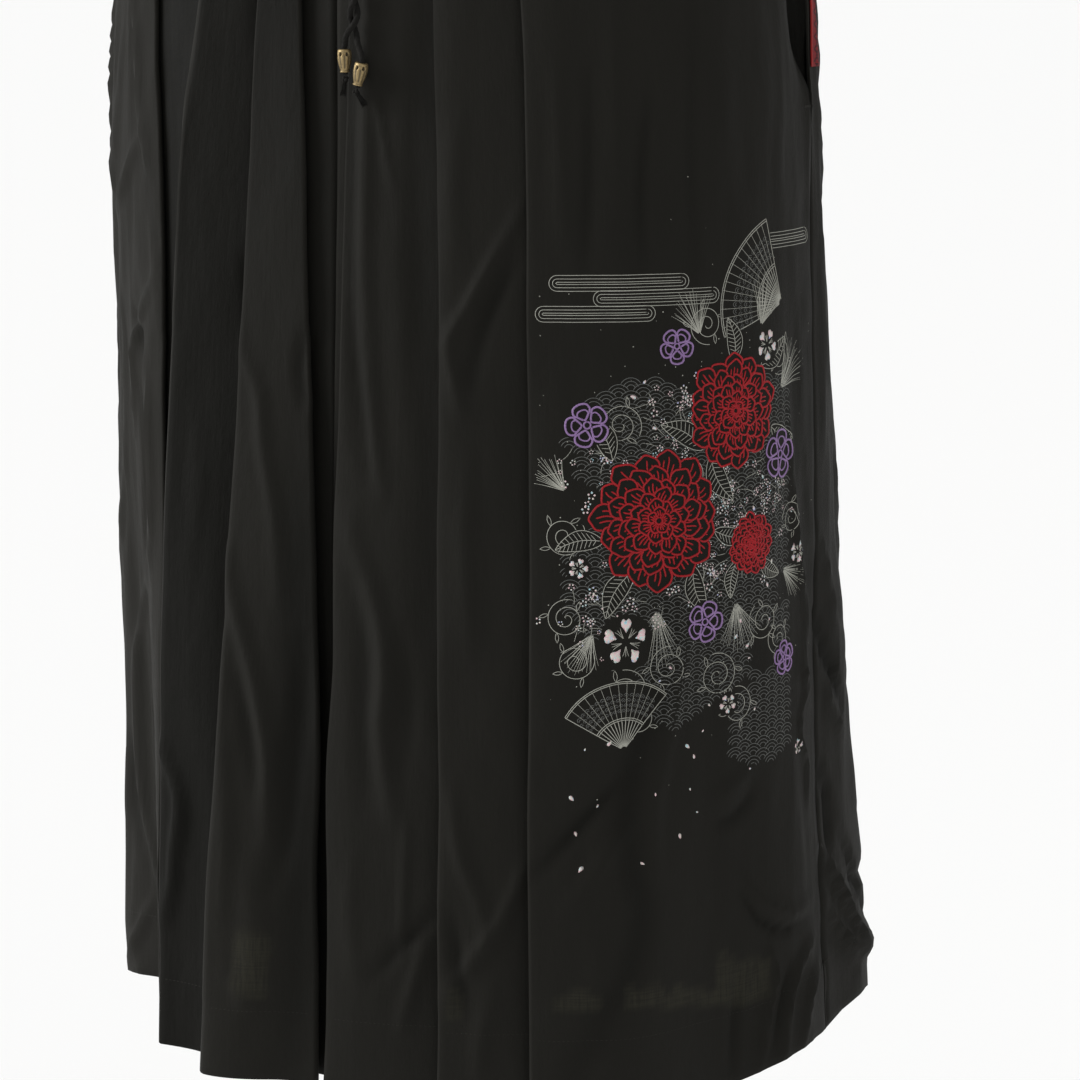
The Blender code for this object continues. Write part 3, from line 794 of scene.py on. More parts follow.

# Creases of the hanging crepe, in millimetres: rise, half width, how sharp, how dark its painted shade is,
# and the line by angle and drop
creases = (
    # the wearer's right side, crinkled where it was folded
    (3.6, 8, 0.6, 0, ((-58, 60), (-52, 120), (-45.7, 180), (-41.4, 245), (-38.5, 275), (-35.6, 330),
        (-33.6, 380))),
    (3, 8, 0.5, 0, ((-41.1, 260), (-46.3, 280), (-50, 295), (-55, 310))),
    (-2.8, 6, 0.5, 0.4, ((-38.8, 275), (-37.5, 295), (-35, 330))),
    (-2.4, 6, 0.4, 0.3, ((-51, 100), (-47.5, 170), (-44, 235))),
    (3.6, 7, 0.6, 0, ((-35.8, 350), (-41.5, 375), (-46.8, 400), (-47.2, 420), (-49, 455))),
    (-3.4, 9, 0.3, 0.4, ((-45, 372), (-42.4, 385), (-41, 400))),
    (3, 6, 0.6, 0, ((-39, 395), (-37.7, 430), (-37.5, 490), (-40, 545))),
    (-2.6, 7, 0.4, 0.3, ((-43.5, 420), (-43, 475), (-46, 530))),
    (4.2, 9, 0.6, 0, ((-41, 530), (-47.5, 555), (-56, 595), (-58.1, 645), (-58.1, 705), (-55.2, 750),
        (-51, 790))),
    (-3.2, 9, 0.4, 0.4, ((-62.5, 660), (-61, 705), (-59.3, 745))),
    (3.6, 8, 0.5, 0, ((-56.5, 785), (-60.7, 812), (-64.6, 832))),
    (2.8, 7, 0.5, 0, ((-49, 620), (-51, 670), (-50, 730))),
    (1.8, 13, 0, 0, ((-66, 160), (-63, 240), (-62, 330), (-60, 400))),
    (-2.2, 6, 0.4, 0.3, ((-69, 280), (-66, 360), (-64, 440))),
    (2, 10, 0.2, 0, ((-56, 440), (-60, 500), (-66, 550))),
    (2, 9, 0.3, 0, ((-52, 200), (-55, 260), (-60, 340))),
    (-2.6, 5, 0.6, 0.6, ((-45.5, 640), (-46.5, 690), (-45.5, 735))),
    # the right front pleats, with the lit roll at the outer one's edge
    (2, 4, 1, 0, ((-23, 90), (-23.6, 178), (-24, 235), (-24.6, 284), (-25.2, 330), (-25.7, 370))),
    (4.6, 8, 0.8, 0, ((-28.2, 640), (-25.4, 660), (-24.4, 680), (-25.2, 702), (-25.8, 726), (-27.6, 757))),
    (0.9, 9, 0.2, 0, ((-22, 420), (-21, 470), (-22.5, 530))),
    (-0.9, 12, 0.1, 0.25, ((-22, 620), (-20.5, 700), (-21, 780))),
    (2.4, 7, 0.7, 0, ((-13.6, 350), (-12.2, 383), (-9.6, 410), (-8.8, 440), (-7, 486), (-6.2, 540))),
    (-3, 6, 0.5, 0.7, ((-14.2, 330), (-13.7, 358), (-13.4, 382))),
    (2.4, 7, 0.6, 0, ((-13.9, 560), (-14.6, 630), (-15, 700), (-15.6, 790))),
    (-3, 20, 0, 0.8, ((-3.2, 420), (-3.5, 500), (-3.3, 580), (-3, 660), (-2.8, 740), (-2.8, 800), (-2.8, 850))),
    (3.8, 8, 0.7, 0, ((-13.8, 505), (-12.6, 535), (-10.6, 565), (-8.9, 593), (-7.4, 630), (-6.6, 690))),
    (-2.2, 7, 0.5, 0.3, ((-11.6, 585), (-10, 615), (-8.4, 655))),
    (-3.2, 9, 0.3, 0.5, ((-3, 560), (-3.3, 596), (-4.6, 645), (-5.1, 688), (-6.4, 720))),
    (-2.6, 6, 0.4, 0.4, ((-3.6, 372), (-4.2, 395), (-3.4, 420))),
    (2.2, 8, 0.5, 0, ((-13.2, 620), (-12.4, 680), (-12.6, 740))),
    (1.8, 10, 0.3, 0, ((-9.5, 700), (-8.4, 750), (-9.5, 800))),
    (1.6, 7, 0.6, 0, ((-11.5, 775), (-8.6, 790), (-5.4, 787))),
    # the pleat beside the centre front
    (2.6, 6, 0.5, 0, ((3, 140), (2.7, 200), (2.6, 265), (2.7, 316), (3.2, 367), (4.2, 422), (5.2, 470))),
    (-1.4, 5, 0.3, 0.35, ((0.9, 170), (1, 250), (1.2, 320), (1.5, 380), (2, 440))),
    (2, 4, 0.8, 0, ((3.3, 215), (4.6, 250), (6.2, 285))),
    (2, 4, 0.8, 0, ((1.6, 345), (2.4, 370), (3.3, 405), (4.6, 455))),
    (-1.6, 10, 0.2, 0.15, ((8.8, 200), (9.2, 300), (9.4, 420))),
    (-1.8, 6, 0.4, 0.3, ((1.8, 350), (2.8, 410), (3.6, 460))),
    (3.6, 8, 0.6, 0, ((1.4, 478), (1.9, 497), (4, 525), (5.5, 555), (5.8, 585), (5.3, 608), (6, 640),
        (6.9, 668))),
    (-2.6, 9, 0.3, 0.35, ((1.6, 520), (3.2, 560), (3.4, 610), (3.8, 660))),
    (-1.9, 8, 0.3, 0.2, ((8.2, 550), (8.8, 600), (8.2, 640))),
    (1.9, 4, 0.9, 0, ((8.6, 665), (8.3, 710), (8, 757))),
    (2.6, 6, 0.7, 0, ((11, 745), (9.8, 765), (8.4, 790), (8, 800))),
    (-2.6, 7, 0.5, 0.4, ((12.6, 722), (8.2, 745), (4.6, 768))),
    (1.4, 6, 0.5, 0, ((2.4, 690), (2, 730), (3, 770))),
    # the second pleat
    (3.6, 7, 0.8, 0, ((25.4, 298), (21.3, 325), (17.3, 355), (14.6, 375), (15.6, 395), (16.6, 415))),
    (-2.8, 9, 0.3, 0.35, ((24.5, 325), (20, 360), (17.6, 400))),
    (1.4, 10, 0.2, 0, ((16, 240), (15.2, 290), (16, 330))),
    (1.6, 8, 0.4, 0, ((17.6, 440), (17, 500), (17.8, 560))),
    (2.6, 7, 0.6, 0, ((15.2, 640), (16.2, 680), (19, 715), (20, 740))),
    (3.8, 8, 0.7, 0, ((25.6, 690), (21.6, 728), (17, 755), (14.1, 777))),
    (-2.6, 7, 0.4, 0.4, ((15.1, 720), (16.1, 755), (17, 785))),
    (2, 8, 0.4, 0, ((20.5, 770), (19, 800), (18.6, 830))),
    # the broad left front
    (1.5, 7, 0.3, 0, ((31.6, 200), (32.2, 260), (32.8, 315))),
    (-1.8, 8, 0.3, 0.3, ((37.3, 215), (36.9, 270), (36.2, 330))),
    (-1.7, 8, 0.3, 0.3, ((47.8, 230), (46.2, 280), (46.3, 330))),
    (1.4, 9, 0.3, 0, ((42.4, 140), (41.6, 220), (42, 300))),
    (-1.2, 9, 0.3, 0.2, ((57, 180), (56, 260), (56.5, 340))),
    (-2.4, 18, 0.1, 0.42, ((51.2, 485), (50.8, 513), (50, 550), (47.6, 589), (45, 612), (43.5, 631),
        (42.4, 660), (43.1, 692), (44.6, 715), (43, 742), (40.6, 765), (38.1, 778), (36.5, 795), (34, 810),
        (33, 838))),
    (-2.2, 15, 0.1, 0.42, ((11, 100), (11, 200), (11.2, 300), (11.4, 420), (11.2, 520), (11, 610))),
    (-2.4, 8, 0.4, 0.5, ((42.5, 630), (37, 652), (32, 672), (28, 690))),
    (2.2, 9, 0.3, 0, ((44.5, 655), (38, 685), (32.5, 712))),
    (2.2, 9, 0.3, 0, ((54.5, 500), (54, 560), (50.5, 615), (47.5, 660), (48, 700))),
    (-2.2, 7, 0.4, 0.4, ((61, 672), (65.6, 668), (70.5, 655))),
    (1.8, 8, 0.4, 0, ((60.5, 655), (66, 648), (71, 634))),
    (3, 6, 0.7, 0, ((82.5, 420), (84.5, 490), (87.4, 550), (86.3, 590), (88.4, 612))),
    (2.6, 4, 0.8, 0, ((84, 575), (86.6, 598), (83.6, 625), (86.4, 648), (85.6, 690))),
    (2.4, 7, 0.5, 0, ((67, 704), (73, 730), (80, 744), (87, 742))),
    (-2.8, 5, 0.7, 0.4, ((66.6, 718), (72, 744), (78.5, 756), (86.5, 757))),
    (4, 5, 0.8, 0, ((73, 762), (74.2, 782), (72.5, 800), (70.4, 838))),
    (4.4, 6, 0.8, 0, ((86, 768), (80.5, 783), (77, 803), (75.6, 838))),
    (-2.6, 5, 0.5, 0.3, ((77.8, 778), (75.6, 802), (73.4, 832))),
    (4, 6, 0.8, 0, ((87.5, 786), (83, 806), (80.4, 836))),
    (-2.8, 8, 0.3, 0.3, ((66, 770), (65, 800), (64, 835))),
    # round the wearer's left side
    (5.6, 17, 0.1, 0, ((97, 800), (103, 806), (110, 802), (116, 790))),
    (-3.2, 10, 0.3, 0.2, ((98, 752), (104, 757), (111, 750))),
    (6.2, 8, 0.8, 0, ((90.4, 710), (93.2, 735), (97.6, 770), (102.6, 805))),
    (4, 6, 0.8, 0, ((90.6, 745), (93.5, 775), (98, 798), (104, 815))),
    (-4.2, 7, 0.4, 0.9, ((91.4, 556), (94.5, 585), (99, 612), (101, 640))),
    (-4.2, 7, 0.3, 0.9, ((91.4, 655), (93.8, 692), (91.8, 728))),
    (-4.4, 8, 0.5, 0.6, ((96.6, 712), (102.5, 760), (107.3, 802))),
    (1.3, 7, 0.5, 0, ((96.5, 300), (98.5, 380), (97.5, 460))),
    (-1.3, 7, 0.4, 0.3, ((101, 270), (104, 350), (103, 430))),
    (2.6, 6, 0.7, 0, ((93, 500), (97, 540), (99, 600), (97.5, 660))),
    (2.6, 8, 0.5, 0, ((104, 580), (107.5, 640), (106.5, 700))),
    (2.6, 7, 0.5, 0, ((94.5, 600), (97.5, 630), (101.5, 645))),
    (2.8, 7, 0.5, 0, ((92, 780), (97, 800), (100, 830))),
)

# Similar creases on the sides that the photo hides, drawn by a seeded chance
hiddenCreases = {
    "seed": 52,
    "stretches": ((-98.0, -66.0, 13), (108.0, 147.0, 15), (150.0, 208.0, 22), (208.0, 262.0, 20)),
    "drops": (0.10, 0.80),
    "lengths": (0.05, 0.20),
    "rises": (1.6, 3.8),
    "widths": (5.0, 10.0),
}


def chanceCreases():
    draw = random.Random(hiddenCreases["seed"])
    made = []
    for low, high, count in hiddenCreases["stretches"]:
        for _ in range(count):
            angle, drop = draw.uniform(low, high), draw.uniform(*hiddenCreases["drops"])
            length = draw.uniform(*hiddenCreases["lengths"])
            lean = draw.choice((-1.0, 1.0)) * draw.uniform(5.0, 55.0)
            bend = draw.uniform(-2.4, 2.4)
            rise = draw.choice((1.0, 1.0, -1.0)) * draw.uniform(*hiddenCreases["rises"])
            # deep troughs get painted shade
            dark = 0.5 if rise < -1.8 else 0.0
            width, sharp = draw.uniform(*hiddenCreases["widths"]), draw.uniform(0.2, 0.7)
            line = []
            for share in (0.0, 0.35, 0.7, 1.0):
                aside = angle + lean * length * share * (0.6 + 0.8 * share) + bend * math.sin(math.pi * share)
                line.append((aside, 1000.0 * min(drop + length * share, skirt["length"] - 0.006)))
            made.append((rise, width, sharp, dark, tuple(line)))
    return made


def softNoise(across, down, seed):
    # Smooth chance values between -1 and 1 on a lattice of unit cells
    lattice = np.random.RandomState(seed).uniform(-1.0, 1.0, (256, 256))
    column, row = np.floor(across).astype(int), np.floor(down).astype(int)
    shareX, shareY = smoothStep(across - column), smoothStep(down - row)

    def corner(x, y):
        return lattice[(row + y) % 256, (column + x) % 256]

    upper = corner(0, 0) * (1.0 - shareX) + corner(1, 0) * shareX
    lower = corner(0, 1) * (1.0 - shareX) + corner(1, 1) * shareX
    return upper * (1.0 - shareY) + lower * shareY


# Uneven hang of the cloth: rise in metres, cell across and down in metres, seed
unevenness = (
    (0.0011, 0.045, 0.210, 3),
    (0.0007, 0.020, 0.085, 4),
    (0.00030, 0.010, 0.030, 5),
)
crinkle = {
    "at": ((-66.0, 30.0), (103.0, 20.0), (-160.0, 60.0)),  # angle and half width of the crinkled stretches
    "rise": 0.0012,
    "veinRise": 0.0016,
    "veinWidth": 0.024,
    "veins": ((7, 0.07), (8, -0.12)),  # seed and lean
}
puckers = {"seams": (90.0, 269.0), "from": 0.26, "rise": 0.0007, "half": 2.2, "spacing": 0.046}


def crinkleLift(angle, arc, drop):
    crinkled = 0.0
    for centre, halfWidth in crinkle["at"]:
        crinkled = crinkled + np.exp(-(turned(angle, centre) / halfWidth) ** 2)
    fine = softNoise(arc / 0.010 + 0.3 * drop / 0.03 + 80.0, drop / 0.080 + 20.0, 6)
    lift = crinkle["rise"] * crinkled * fine
    for seed, lean in crinkle["veins"]:
        veins = 1.0 - np.abs(softNoise((arc + lean * drop) / crinkle["veinWidth"] + 30.0, drop / 0.230 + 9.0, seed))
        lift += crinkle["veinRise"] * crinkled * veins ** 4
    return lift


def seamPuckers(angle, drop):
    lift, hollow = 0.0, 0.0
    for seam in puckers["seams"]:
        near = np.exp(-(turned(angle, seam) / puckers["half"]) ** 2) * smoothStep((drop - puckers["from"]) / 0.03)
        wave = np.sin(2.0 * np.pi * drop / puckers["spacing"] + 2.4 * softNoise(drop / 0.13, drop * 0.0 + 3.0, 12))
        wave = wave * (0.6 + 0.4 * softNoise(drop / 0.09, drop * 0.0 + 8.0, 13))
        lift = lift + puckers["rise"] * near * wave
        # painted shade in the troughs of the puckers
        hollow = hollow + 0.5 * near ** 3 * np.clip(-wave, 0.0, 1.0)
    return lift, hollow


def besideLine(path, here):
    # How far each place lies from a line, and how far along it, from 0 to 1
    lengths = lengthsAlong(path)
    away, done = np.full(len(here), np.inf), np.zeros(len(here))
    for index in range(len(path) - 1):
        start, step = path[index], path[index + 1] - path[index]
        share = np.clip(((here - start) @ step) / (step @ step), 0.0, 1.0)
        gap = np.linalg.norm(here - start - share[:, None] * step, axis=1)
        closer = gap < away
        away = np.where(closer, gap, away)
        done = np.where(closer, (lengths[index] + share * (lengths[index + 1] - lengths[index])) / lengths[-1], done)
    return away, done


creaseField = {"radius": 0.215, "reach": 22.0, "step": 0.006, "margin": 0.02}


def creaseLift(angle, drop):
    # The same for every layer of cloth at a place, so that no layer goes through another
    radius = creaseField["radius"]
    arc = np.radians(turned(angle, 0.0)) * radius
    lift = np.zeros_like(arc)
    for rise, across, down, seed in unevenness:
        lift += rise * softNoise(arc / across + 40.0, drop / down + 7.0, seed)
    lift += crinkleLift(angle, arc, drop)
    pucker, hollow = seamPuckers(angle, drop)
    lift += pucker
    for rise, width, sharp, dark, line in allCreases:
        turns, downs = np.array(line).T
        path = resample(np.stack([np.radians(turns) * radius, downs * 0.001], axis=-1), creaseField["step"])
        near = np.abs(turned(angle, turns.mean())) < creaseField["reach"]
        near &= (drop > path[:, 1].min() - creaseField["margin"]) & (drop < path[:, 1].max() + creaseField["margin"])
        if not near.any():
            continue
        here = np.stack([arc[near], drop[near]], axis=-1)
        girth = 2.0 * math.pi * radius
        here[:, 0] += round((path[:, 0].mean() - here[:, 0].mean()) / girth) * girth
        away, done = besideLine(path, here)
        across = np.clip(away / (width * 0.001), 0.0, 1.0)
        soft = (1.0 - across ** 2) ** 2
        crest = np.exp(-(across * 3.4) ** 2) * (1.0 - across)
        taper = np.sin(np.pi * np.clip(done * 0.92 + 0.04, 0.0, 1.0)) ** 0.6
        lift[near] += rise * 0.001 * taper * (soft * (1.0 - 0.45 * sharp) + crest * 0.45 * sharp)
        # painted shade along the trough of the crease
        if dark:
            hollow[near] = np.maximum(hollow[near], dark * taper * soft ** 1.5)
    fade = smoothStep((drop - 0.045) / 0.05)
    return lift * fade, np.clip(hollow, 0.0, 1.0)


allCreases = creases + tuple(chanceCreases())

# How finely the shells are divided, in metres and steps
shell = {
    "thickness": 0.0006,
    "rowStep": 0.0050,
    "lapSteps": 6,
    "turnSteps": 8,
    "turnUp": 0.045,
    "turnUpGap": 0.0011,
    "turnIn": 0.009,
    "turnInLean": 0.0006,
    "seamBend": 0.00042,
    "rollReach": 0.020,
    "rollDepth": 0.0060,
    "wander": 0.28,
    "shadeFrom": 0.10,
    "shadeBy": 0.50,
}


def layerGap(drops):
    share = smoothStep((drops - skirt["opensFrom"]) / (skirt["length"] - skirt["opensFrom"]))
    return skirt["layersAtWaist"] + (skirt["gapAtHem"] - skirt["layersAtWaist"]) * share


def opened(upper, hem, pressed, drops):
    opening = smoothStep((drops - skirt["opensFrom"]) / (skirt["opensBy"] - skirt["opensFrom"]))
    low = smoothStep((drops - skirt["opensBy"]) / (skirt["length"] - skirt["opensBy"]))
    size = upper + (hem - upper) * low
    return np.maximum(pressed, pressed + (size - pressed) * opening)


def foldStand(fold, drops):
    return opened(fold["standHigh"], fold["standHem"], 2.0 * layerGap(drops), drops)


def foldTurn(fold, drops):
    turn = opened(fold["turnHigh"], fold["turnHem"], layerGap(drops) / 2.0, drops)
    return np.minimum(turn, (foldStand(fold, drops) - layerGap(drops)) / 2.0)


def wobble(angles, drops):
    # Pleat edges wander a little, and keep to their line at the band
    seed = int(abs(angles[1]) * 10)
    aside = softNoise(drops / 0.075 + seed * 0.37, drops * 0.0 + seed, 31)
    return shell["wander"] * aside * smoothStep((drops - 0.06) / 0.1)


def lapAngle(fold, edges, index, drops):
    here = edges[index + 1]
    cover = edges[index + 2] - here if fold["faces"] < 0 else here - edges[index]
    return np.minimum(fold["lap"] / ringSpeed(here, drops), skirt["largestLap"] * cover)


def halfTurn(angle, level, radius, toward, drops):
    speed = ringSpeed(angle, drops)
    made = []
    for step in range(1, shell["turnSteps"]):
        swing = math.pi * step / shell["turnSteps"]
        made.append((angle + toward * radius * math.sin(swing) / speed, level - radius * math.cos(swing)))
    return made


def foldLayers(fold, angle, lap, drops):
    gap, stand, turn = layerGap(drops), foldStand(fold, drops), foldTurn(fold, drops)
    speed = ringSpeed(angle, drops)
    toward = -fold["faces"]
    hiddenEnd = angle + toward * (lap - gap / 2.0 / speed)
    edgeEnd = angle + toward * turn / speed
    middle = []
    for step in range(shell["lapSteps"] + 1):
        share = step / shell["lapSteps"]
        middle.append((hiddenEnd + (edgeEnd - hiddenEnd) * share, gap + (stand - 2.0 * turn - gap) * share))
    layers = halfTurn(hiddenEnd, gap / 2.0, gap / 2.0, toward, drops) + middle
    layers += halfTurn(edgeEnd, stand - turn, turn, -toward, drops)
    return layers if fold["faces"] < 0 else layers[::-1]


def evenRun(first, last, firstLevel, lastLevel, steps):
    shares = [step / steps for step in range(steps + 1)]
    return [(first + (last - first) * share, firstLevel + (lastLevel - firstLevel) * share) for share in shares]


def panelRun(folds, edges, laps, index, steps, drops):
    # A face leans evenly from edge to edge, and lies flat where it goes under its neighbour
    begin, end = edges[index], edges[index + 1]
    gap, ground = layerGap(drops), 0.0 * drops
    before, after, startLevel, finishLevel = [], [], ground, ground
    if index > 0:
        fold, speed = folds[index - 1], ringSpeed(begin, drops)
        if fold["faces"] < 0:
            startLevel = foldStand(fold, drops)
            begin = begin + foldTurn(fold, drops) / speed
        else:
            under = begin - laps[index - 1] + gap / 2.0 / speed
            before = evenRun(under, begin, ground, ground, shell["lapSteps"])[:-1]
    if index < len(folds):
        fold, speed = folds[index], ringSpeed(end, drops)
        if fold["faces"] > 0:
            finishLevel = foldStand(fold, drops)
            end = end - foldTurn(fold, drops) / speed
        else:
            under = end + laps[index] - gap / 2.0 / speed
            after = evenRun(end, under, ground, ground, shell["lapSteps"])[1:]
    return before + evenRun(begin, end, startLevel, finishLevel, steps) + after


def turnedIn(angle, toward, drops):
    # The allowance that is pressed back inside a seam or a side opening, from the edge inwards
    speed, bend, flat = ringSpeed(angle, drops), shell["seamBend"], 0.0 * drops
    made = []
    for degrees in (45.0, 90.0, 135.0):
        swing = math.radians(degrees)
        aside = angle + toward * bend * (1.0 - math.sin(swing)) / speed
        made.append((aside, -bend * (1.0 - math.cos(swing)) + flat))
    for share in (0.3, 0.65, 1.0):
        aside = angle + toward * (bend + shell["turnIn"] * share) / speed
        made.append((aside, -2.0 * bend - shell["turnInLean"] * share + flat))
    return made


def rolledIn(angles, drops, edge, toward):
    # Beside a side opening the front's edge rolls softly inwards
    away = toward * (angles - edge[:, None]) * ringSpeed(edge, drops)[:, None]
    near = smoothStep(1.0 - np.clip(away, 0.0, None) / shell["rollReach"])
    opening = smoothStep((skirt["slitEnd"] + 0.012 - drops) / 0.05) * smoothStep((drops - 0.045) / 0.03)
    return -shell["rollDepth"] * near ** 1.5 * opening[:, None]


def slitAngle(drops):
    return skirt["slitDegrees"] * smoothStep((skirt["slitEnd"] - drops) / skirt["slitClosing"])


def seamEdge(angles, side, drops, slit=0.0):
    angle = smoothCurve(angleDrops, angles, drops)
    return angle + side * (skirt["seamGap"] / 2.0 / ringSpeed(angle, drops) + slit)


def makePanel(name, node, folds, edgesAt, step, rolls=(), shades=()):
    folds = [dict(zip(foldNames, row)) for row in folds]
    top = skirt["bandHeight"] + skirt["bandGap"]
    drops = np.linspace(top, skirt["length"], round((skirt["length"] - top) / shell["rowStep"]) + 1)
    start, end = edgesAt(drops)
    creased = [smoothCurve(angleDrops, fold["angles"], drops) + wobble(fold["angles"], drops) for fold in folds]
    edges = [start, *creased, end]
    laps = [lapAngle(fold, edges, index, drops) for index, fold in enumerate(folds)]
    columns = turnedIn(start, 1.0, drops)[::-1]
    runs = []
    for index in range(len(folds) + 1):
        width = ringSpeed((edges[index][-1] + edges[index + 1][-1]) / 2.0, drops[-1:])
        width = float(width[0] * (edges[index + 1][-1] - edges[index][-1]))
        first = len(columns)
        columns += panelRun(folds, edges, laps, index, max(4, round(width / step)), drops)
        runs.append((first, len(columns) - 1))
        if index < len(folds):
            columns += foldLayers(folds[index], edges[index + 1], laps[index], drops)
    columns += turnedIn(end, -1.0, drops)
    angles, levels = (
        np.stack([np.broadcast_to(column[part], drops.shape) for column in columns], axis=1) for part in (0, 1))
    down = np.repeat(drops[:, None], angles.shape[1], axis=1)
    lift, hollow = creaseLift(angles, down)
    for edge, toward in ((start, 1.0), (end, -1.0)):
        if toward in rolls:
            lift = lift + rolledIn(angles, drops, edge, toward)
    # painted shade over whole faces of the panel, changing with the drop
    lower = smoothStep((drops - shell["shadeFrom"]) / (shell["shadeBy"] - shell["shadeFrom"]))[:, None]
    for (first, last), (above, below) in zip(runs, shades):
        face = hollow[:, first:last + 1]
        face[:] = np.maximum(face, above + (below - above) * lower)
    grid = clothPoint(angles, levels + lift, down)
    widths = np.linalg.norm(np.diff(grid, axis=1), axis=2)
    across = np.concatenate([[0.0], np.cumsum(widths.mean(axis=0))])
    return {
        "name": name, "node": node, "grid": grid, "drops": drops, "runs": runs, "across": across, "angles": angles,
        "hollow": hollow, "hemWidth": float(widths[-1].sum()), "topWidth": float(widths[0].sum()),
    }


def addPanel(panel):
    # The hem is turned up inside: rounded at the fold, then back up along the inner side of every layer
    grid, drops = panel["grid"], panel["drops"]
    hem = len(drops) - 1
    along = unit(np.gradient(grid, axis=1))
    downward = unit(np.gradient(grid, axis=0))
    inward = unit(np.cross(along, downward))
    gap = shell["turnUpGap"]
    rows = [grid[index] for index in range(hem + 1)]
    rows.append(grid[hem] + inward[hem] * gap * 0.5 + downward[hem] * gap * 0.45)
    raised = int(round(shell["turnUp"] / shell["rowStep"]))
    for back in range(raised + 1):
        rows.append(grid[hem - back] + inward[hem - back] * gap)
    points = np.stack(rows)
    count = points.shape[1]
    spread = np.concatenate([drops, [drops[-1] + gap], drops[-1] + gap + shell["rowStep"] * np.arange(raised + 1)])
    uv = np.stack(np.meshgrid(panel["across"], -spread), axis=-1).reshape(-1, 2)
    faces = gridFaces(len(rows), count)[:, ::-1]
    piece = newPiece(panel["name"], points.reshape(-1, 3), faces, crepe, [panel["node"]], uv)
    sheer, hollow = np.zeros(points.shape[:2]), np.zeros(points.shape[:2])
    sheer[:hem + 1] = sheerPatches(panel)
    # painted shade, stored on the cloth for its material
    hollow[:hem + 1] = panel["hollow"]
    addValues(piece, "sheer", sheer)
    addValues(piece, "hollow", hollow)
    thicken(piece, "cloth thickness", shell["thickness"])
    held = panel["topWidth"], panel["hemWidth"]
    length = skirt["length"] - skirt["bandHeight"] + shell["turnUp"]
    min(max(held) * length, (held[0] + held[1]) / 2.0 * length)
    return piece


# Paler places where the light comes through one layer above the turned-up hem:
# angle, its top and bottom drop at one end, the same at the other end, and how much
sheerPlaces = (
    ((-10.8, 0.741, 0.786), (-6.4, 0.743, 0.789), 0.62),
    ((29.8, 0.764, 0.78), (37.4, 0.762, 0.778), 0.6),
    ((41.8, 0.762, 0.778), (72.0, 0.781, 0.796), 0.75),
    ((60.5, 0.752, 0.79), (73.0, 0.765, 0.796), 0.65),
    ((14.5, 0.766, 0.788), (16.4, 0.768, 0.789), 0.45),
    ((122.0, 0.75, 0.788), (134.0, 0.758, 0.788), 0.5),
    ((166.0, 0.765, 0.789), (192.0, 0.77, 0.789), 0.55),
    ((236.0, 0.755, 0.788), (250.0, 0.75, 0.788), 0.5),
)


def sheerPatches(panel):
    angles = panel["angles"]
    drop = np.repeat(panel["drops"][:, None], angles.shape[1], axis=1)
    ragged = 0.004 * softNoise(angles / 1.9, drop / 0.013, 17)
    total = np.zeros(angles.shape)
    for (low, lowTop, lowBottom), (high, highTop, highBottom), amount in sheerPlaces:
        across = turned(angles, low) / (high - low)
        top = lowTop + (highTop - lowTop) * across
        bottom = lowBottom + (highBottom - lowBottom) * across
        ends = np.minimum(across, 1.0 - across) * (high - low)
        mask = smoothStep(ends / 0.9 + 0.5 + 90.0 * ragged)
        mask = mask * smoothStep((drop - top + ragged) / 0.0045) * smoothStep((bottom - drop) / 0.0035)
        total = np.maximum(total, amount * mask)
    return total


def frontRightEdges(drops):
    return seamEdge(seams["right"], 1, drops, slitAngle(drops)) - 360.0, seamEdge(seams["centre"], -1, drops)


def frontLeftEdges(drops):
    return seamEdge(seams["centre"], 1, drops), seamEdge(seams["left"], -1, drops, slitAngle(drops))


def backEdges(drops):
    return seamEdge(seams["left"], 1, drops), seamEdge(seams["right"], -1, drops)


# Painted shade on the pleated faces and on the valley floors between them: how dark each face is above and below
rightShades = ((0.0, 0.0), (0.85, 0.70), (0.52, 0.72), (0.58, 0.0), (0.30, 0.50))
leftShades = ((0.0, 0.0), (0.0, 0.10), (0.05, 0.0), (0.0, 0.0))
frontStep, backStep = 0.0031, 0.0062  # metres between the points across a face
frontRight = makePanel(
    "crepeFrontRight", "front_panel_right", frontRightFolds, frontRightEdges, frontStep, (1.0,), rightShades)
frontLeft = makePanel(
    "crepeFrontLeft", "front_panel_left", frontLeftFolds, frontLeftEdges, frontStep, (-1.0,), leftShades)
back = makePanel("crepeBack", "back_panel", backFolds, backEdges, backStep)
for panel in (frontRight, frontLeft, back):
    addPanel(panel)
    print(panel["name"], "hangs,", panel["grid"].shape, "points, hem", round(panel["hemWidth"], 3))


